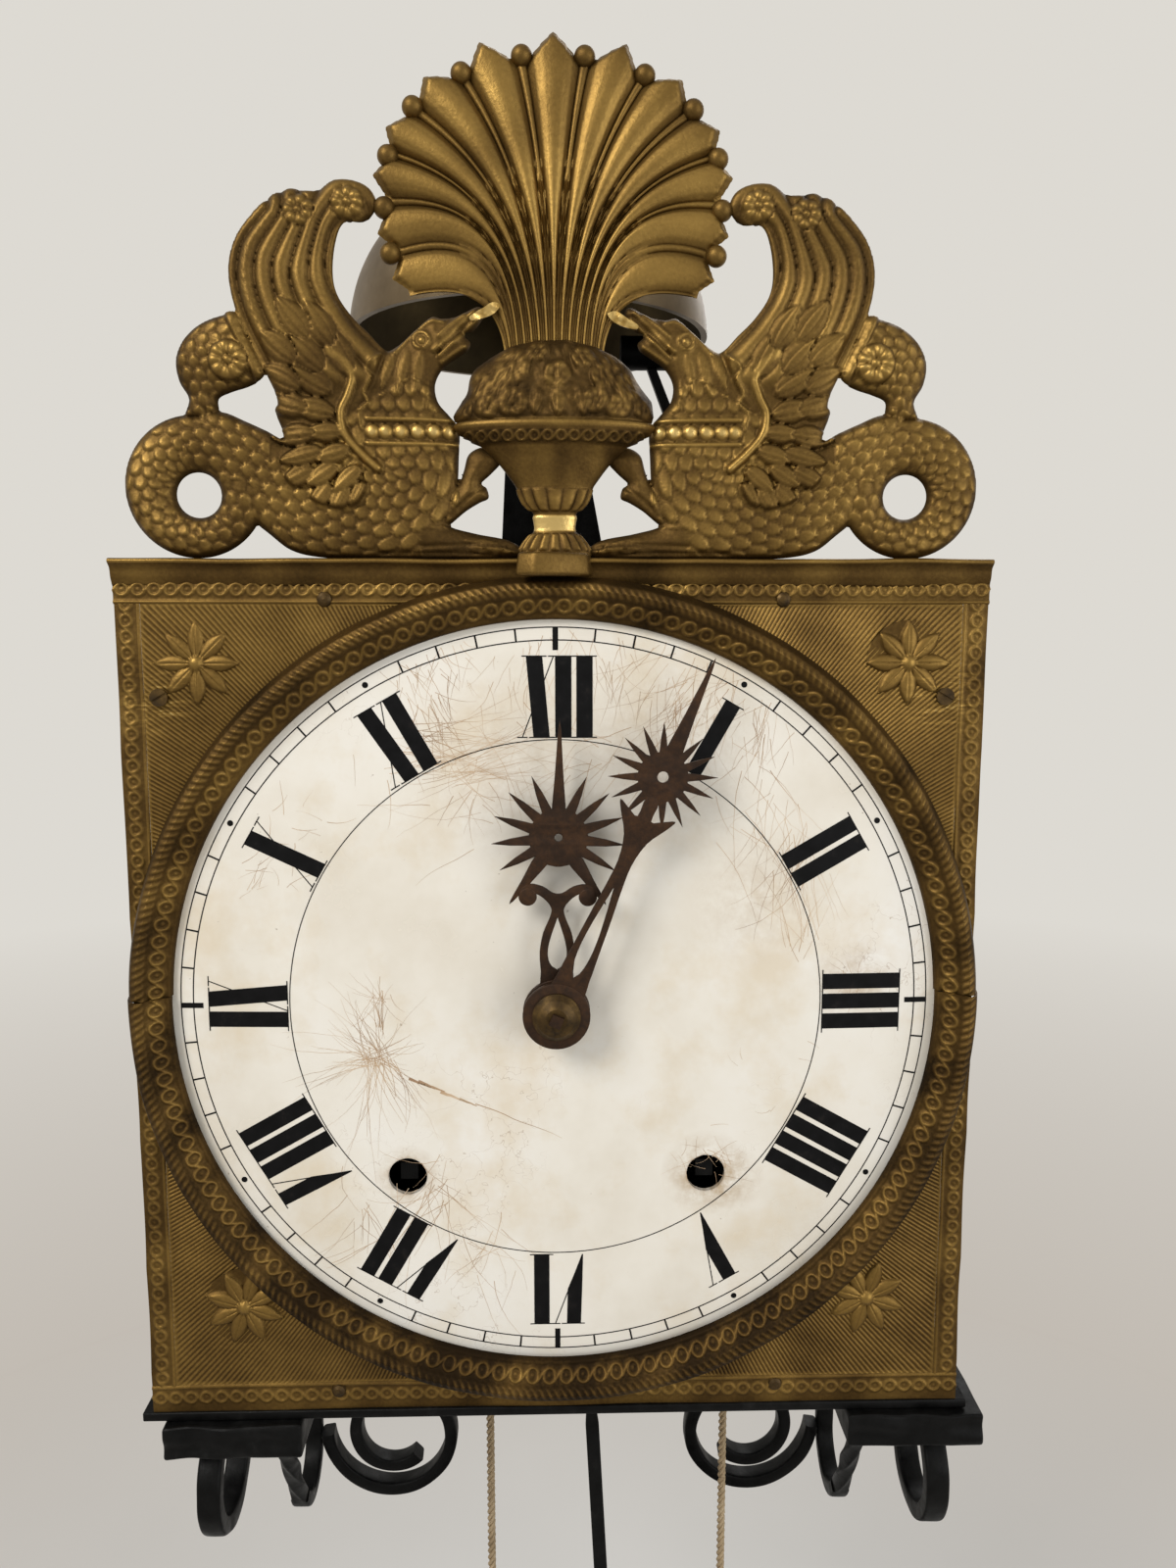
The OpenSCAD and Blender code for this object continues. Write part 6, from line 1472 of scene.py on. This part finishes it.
def forged_bar(name, line, flat, wide, thick, twist=0.0, closed=False):
    """Sweeps a rounded bar along a line whose section keeps the flat direction, turned by the twist."""
    line = np.asarray(line, float)
    ahead = np.gradient(line, axis=0)
    if closed:
        ahead[0] = ahead[-1] = line[1] - line[-2]
    ahead /= np.linalg.norm(ahead, axis=1)[:, None]
    flat = np.broadcast_to(np.asarray(flat, float), line.shape)
    other = np.cross(ahead, flat)
    piece, i, j = grid(name, 29, len(line))
    turn = math.tau * i / 28
    a = wide / 2 * np.sign(np.cos(turn)) * np.abs(np.cos(turn)) ** 0.32
    b = thick / 2 * np.sign(np.sin(turn)) * np.abs(np.sin(turn)) ** 0.32
    spin = math.radians(twist) * j / (len(line) - 1)
    a, b = a * np.cos(spin) - b * np.sin(spin), a * np.sin(spin) + b * np.cos(spin)
    points = line[j] + a[:, None] * flat[j] + b[:, None] * other[j]
    dents = 0.22 * ripple(points[:, 1] + points[:, 0], points[:, 2] + 0.6 * points[:, 0], 15, len(line))
    points += dents[:, None] * (np.cos(turn)[:, None] * flat[j] * 0.5 + np.sin(turn)[:, None] * other[j])
    points[:, 1] = np.minimum(points[:, 1], 0)
    place(piece, on_wall(points))
    close_up(piece, 0.00004)
    edit(piece)
    bpy.ops.mesh.select_mode(type="EDGE")
    bpy.ops.mesh.select_all(action="DESELECT")
    bpy.ops.mesh.select_non_manifold()
    bpy.ops.mesh.fill_holes(sides=0)
    bpy.ops.mesh.select_all(action="SELECT")
    bpy.ops.mesh.normals_make_consistent(inside=False)
    bpy.ops.object.mode_set(mode="OBJECT")
    polish(piece, 50)
    return piece


def arc(at, r, start, end, steps):
    turn = np.radians(np.linspace(start, end, steps))
    return np.stack([at[0] + r * np.cos(turn), at[1] + r * np.sin(turn)], axis=1)


# %% Arms, scrolls and spirals
ARM_TOP, ARM_UNDER, ARM_LEN, ARM_MIDDLE = -40.0, -52.0, 171.0, 112.5
SCROLL_X, SPIRAL_X, BEND = 123.0, 83.0, (-21.0, -163.0)
BRACE_TOP, BRACE_LOW, BRACE_TURN = (-105.0, -52.0), (-36.64, -171.92), 209.7


def forged_box(name, low, high, cuts):
    """A bevelled block with small dents."""
    low, high = np.array(low, float), np.array(high, float)
    bpy.ops.object.select_all(action="DESELECT")
    bpy.ops.mesh.primitive_cube_add(size=1, location=(low + high) / 2000, scale=(high - low) / 1000)
    piece = fresh(name)
    bpy.ops.object.transform_apply(location=True, rotation=True, scale=True)
    apply_modifier(piece, "BEVEL", width=0.0011, segments=3)
    edit(piece)
    bpy.ops.mesh.select_all(action="SELECT")
    bpy.ops.mesh.subdivide(number_cuts=cuts)
    bpy.ops.object.mode_set(mode="OBJECT")
    points = millimetres(piece)
    points[:, 2] += 0.45 * ripple(points[:, 0], points[:, 1], 15, 40)
    points[:, 0] += 0.25 * ripple(points[:, 1], points[:, 2], 24, 41)
    points[:, 1] += 0.5 * ripple(points[:, 0], points[:, 2], 10, 42) * (points[:, 1] < 20)
    place(piece, points)
    return piece


for side, hand in ((-1, "left"), (1, "right")):
    across = lambda a, b: sorted((side * a, side * b))
    x0, x1 = across(ARM_MIDDLE - 22.6, ARM_MIDDLE + 22.6)
    bar = forged_box(f"{hand}_bar", (x0, -ARM_LEN, ARM_UNDER + 0.4), (x1, 0, ARM_TOP - 0.4), 18)
    x0, x1 = across(ARM_MIDDLE - 15, ARM_MIDDLE + 15)
    strap = forged_box(f"{hand}_strap", (x0, -4.8, ARM_TOP - 3), (x1, -0.3, 33.7), 6)
    for z in (-20, 20):
        bpy.ops.object.select_all(action="DESELECT")
        bpy.ops.mesh.primitive_cylinder_add(vertices=32, radius=0.0028, depth=0.03, location=(side * ARM_MIDDLE / 1000, 0, z / 1000),
                                            rotation=(math.pi / 2, 0, 0))
        drill = bpy.context.object
        apply_modifier(strap, "BOOLEAN", object=drill, operation="DIFFERENCE", solver="EXACT")
        bpy.data.objects.remove(drill)
    arm = joined(f"{hand}_forged_arm", [bar, strap])
    polish(arm, 40)
    dress(arm, black_iron, "case", [f"{hand}_arm"])

    def in_plane(yz):
        return np.concatenate([np.full((len(yz), 1), side * SCROLL_X), yz], axis=1)

    ring = forged_bar(f"{hand}_ring", in_plane(arc((-144, -73.5), 18.5, 90, 450, 90)), (1, 0, 0), 8, 6, closed=True)
    bend = np.concatenate([arc(BEND, 18, BRACE_TURN, 360, 46), np.stack([np.full(40, -3.0), np.linspace(-161, ARM_UNDER, 40)], axis=1)])
    limb = forged_bar(f"{hand}_limb", in_plane(bend), (1, 0, 0), 8, 6)
    brace_line = np.stack([np.linspace(BRACE_LOW[k], BRACE_TOP[k], 120) for k in (0, 1)], axis=1)
    brace = forged_bar(f"{hand}_brace", in_plane(brace_line), (1, 0, 0), 6.4, 6.4, twist=side * 540)
    collar = forged_bar(f"{hand}_collar", in_plane(brace_line[108:]), (1, 0, 0), 9, 9)
    scroll = joined(f"{hand}_forged_scroll", [ring, limb, brace, collar])
    dress(scroll, black_iron, "case", [f"{hand}_scroll"])

    share = np.linspace(0, 1, 150)
    reach = 33 - (33 - 15.5) * share ** 0.85
    curl = np.stack([side * (SPIRAL_X + reach * np.cos(-math.tau * 1.36 * share)), np.full(150, -4.5),
                     BEND[1] + reach * np.sin(-math.tau * 1.36 * share)], axis=1)
    spiral = forged_bar(f"{hand}_forged_spiral", curl, (0, 1, 0), 9, 6)
    dress(spiral, black_iron, "case", [f"{hand}_spiral"])

# %% [markdown]
# The bottom plate's front edge was filed back level with the brass, and its corners are rounded. A copy
# of its solid is merged first, because the solid's triangles are loose. Then the front edge slides back
# and the sharp edges get a small bevel.

# %% Bottom plate
FILED_FRONT = 2.4
bpy.ops.object.select_all(action="DESELECT")
frame["nodes"]["bottom_plate"].select_set(True)
bpy.context.view_layer.objects.active = frame["nodes"]["bottom_plate"]
bpy.ops.object.duplicate()
bottom = fresh("filed_bottom_plate")
close_up(bottom)
points = millimetres(bottom)
points[:, 1] += FILED_FRONT * (points[:, 1] < points[:, 1].min() + 0.1)
place(bottom, points)
apply_modifier(bottom, "BEVEL", width=0.0005, segments=2, limit_method="ANGLE")
polish(bottom)
dress(bottom, black_iron, "case", ["bottom_plate"])

# %% [markdown]
# ## Finishes for the turned and filed pieces
# Wheels, arbors, posts, doors, weights and the pendulum already have their shape, so they only get the
# finish of their material slot.

# %% Finishes for the remaining solids
finish_of = {"stamped_brass": stamped_brass, "movement_brass": movement_brass, "enamel": enamel, "hand_steel": hand_steel,
             "movement_steel": movement_steel, "bell_metal": bell_outside, "black_iron": black_iron,
             "sheet_iron": sheet_iron, "hemp": hemp}
for part in frame["record"]["subparts"]:
    solid = frame["nodes"][part["node"]]
    if solid.type != "MESH":
        continue
    for k in range(max(1, len(solid.data.materials))):
        if k < len(solid.data.materials):
            solid.data.materials[k] = finish_of[part["material_slot"]]
        else:
            solid.data.materials.append(finish_of[part["material_slot"]])
for solid, finish in (("going_drum", black_iron), ("strike_drum", black_iron), ("centre_arbor", hand_steel),
                      ("hand_collet", dull_brass), ("front_nails", dull_brass), ("front_screws", dull_brass), ("pendulum_wire", black_iron),
                      ("pendulum_bob", movement_brass)):
    frame["nodes"][solid].data.materials[0] = finish
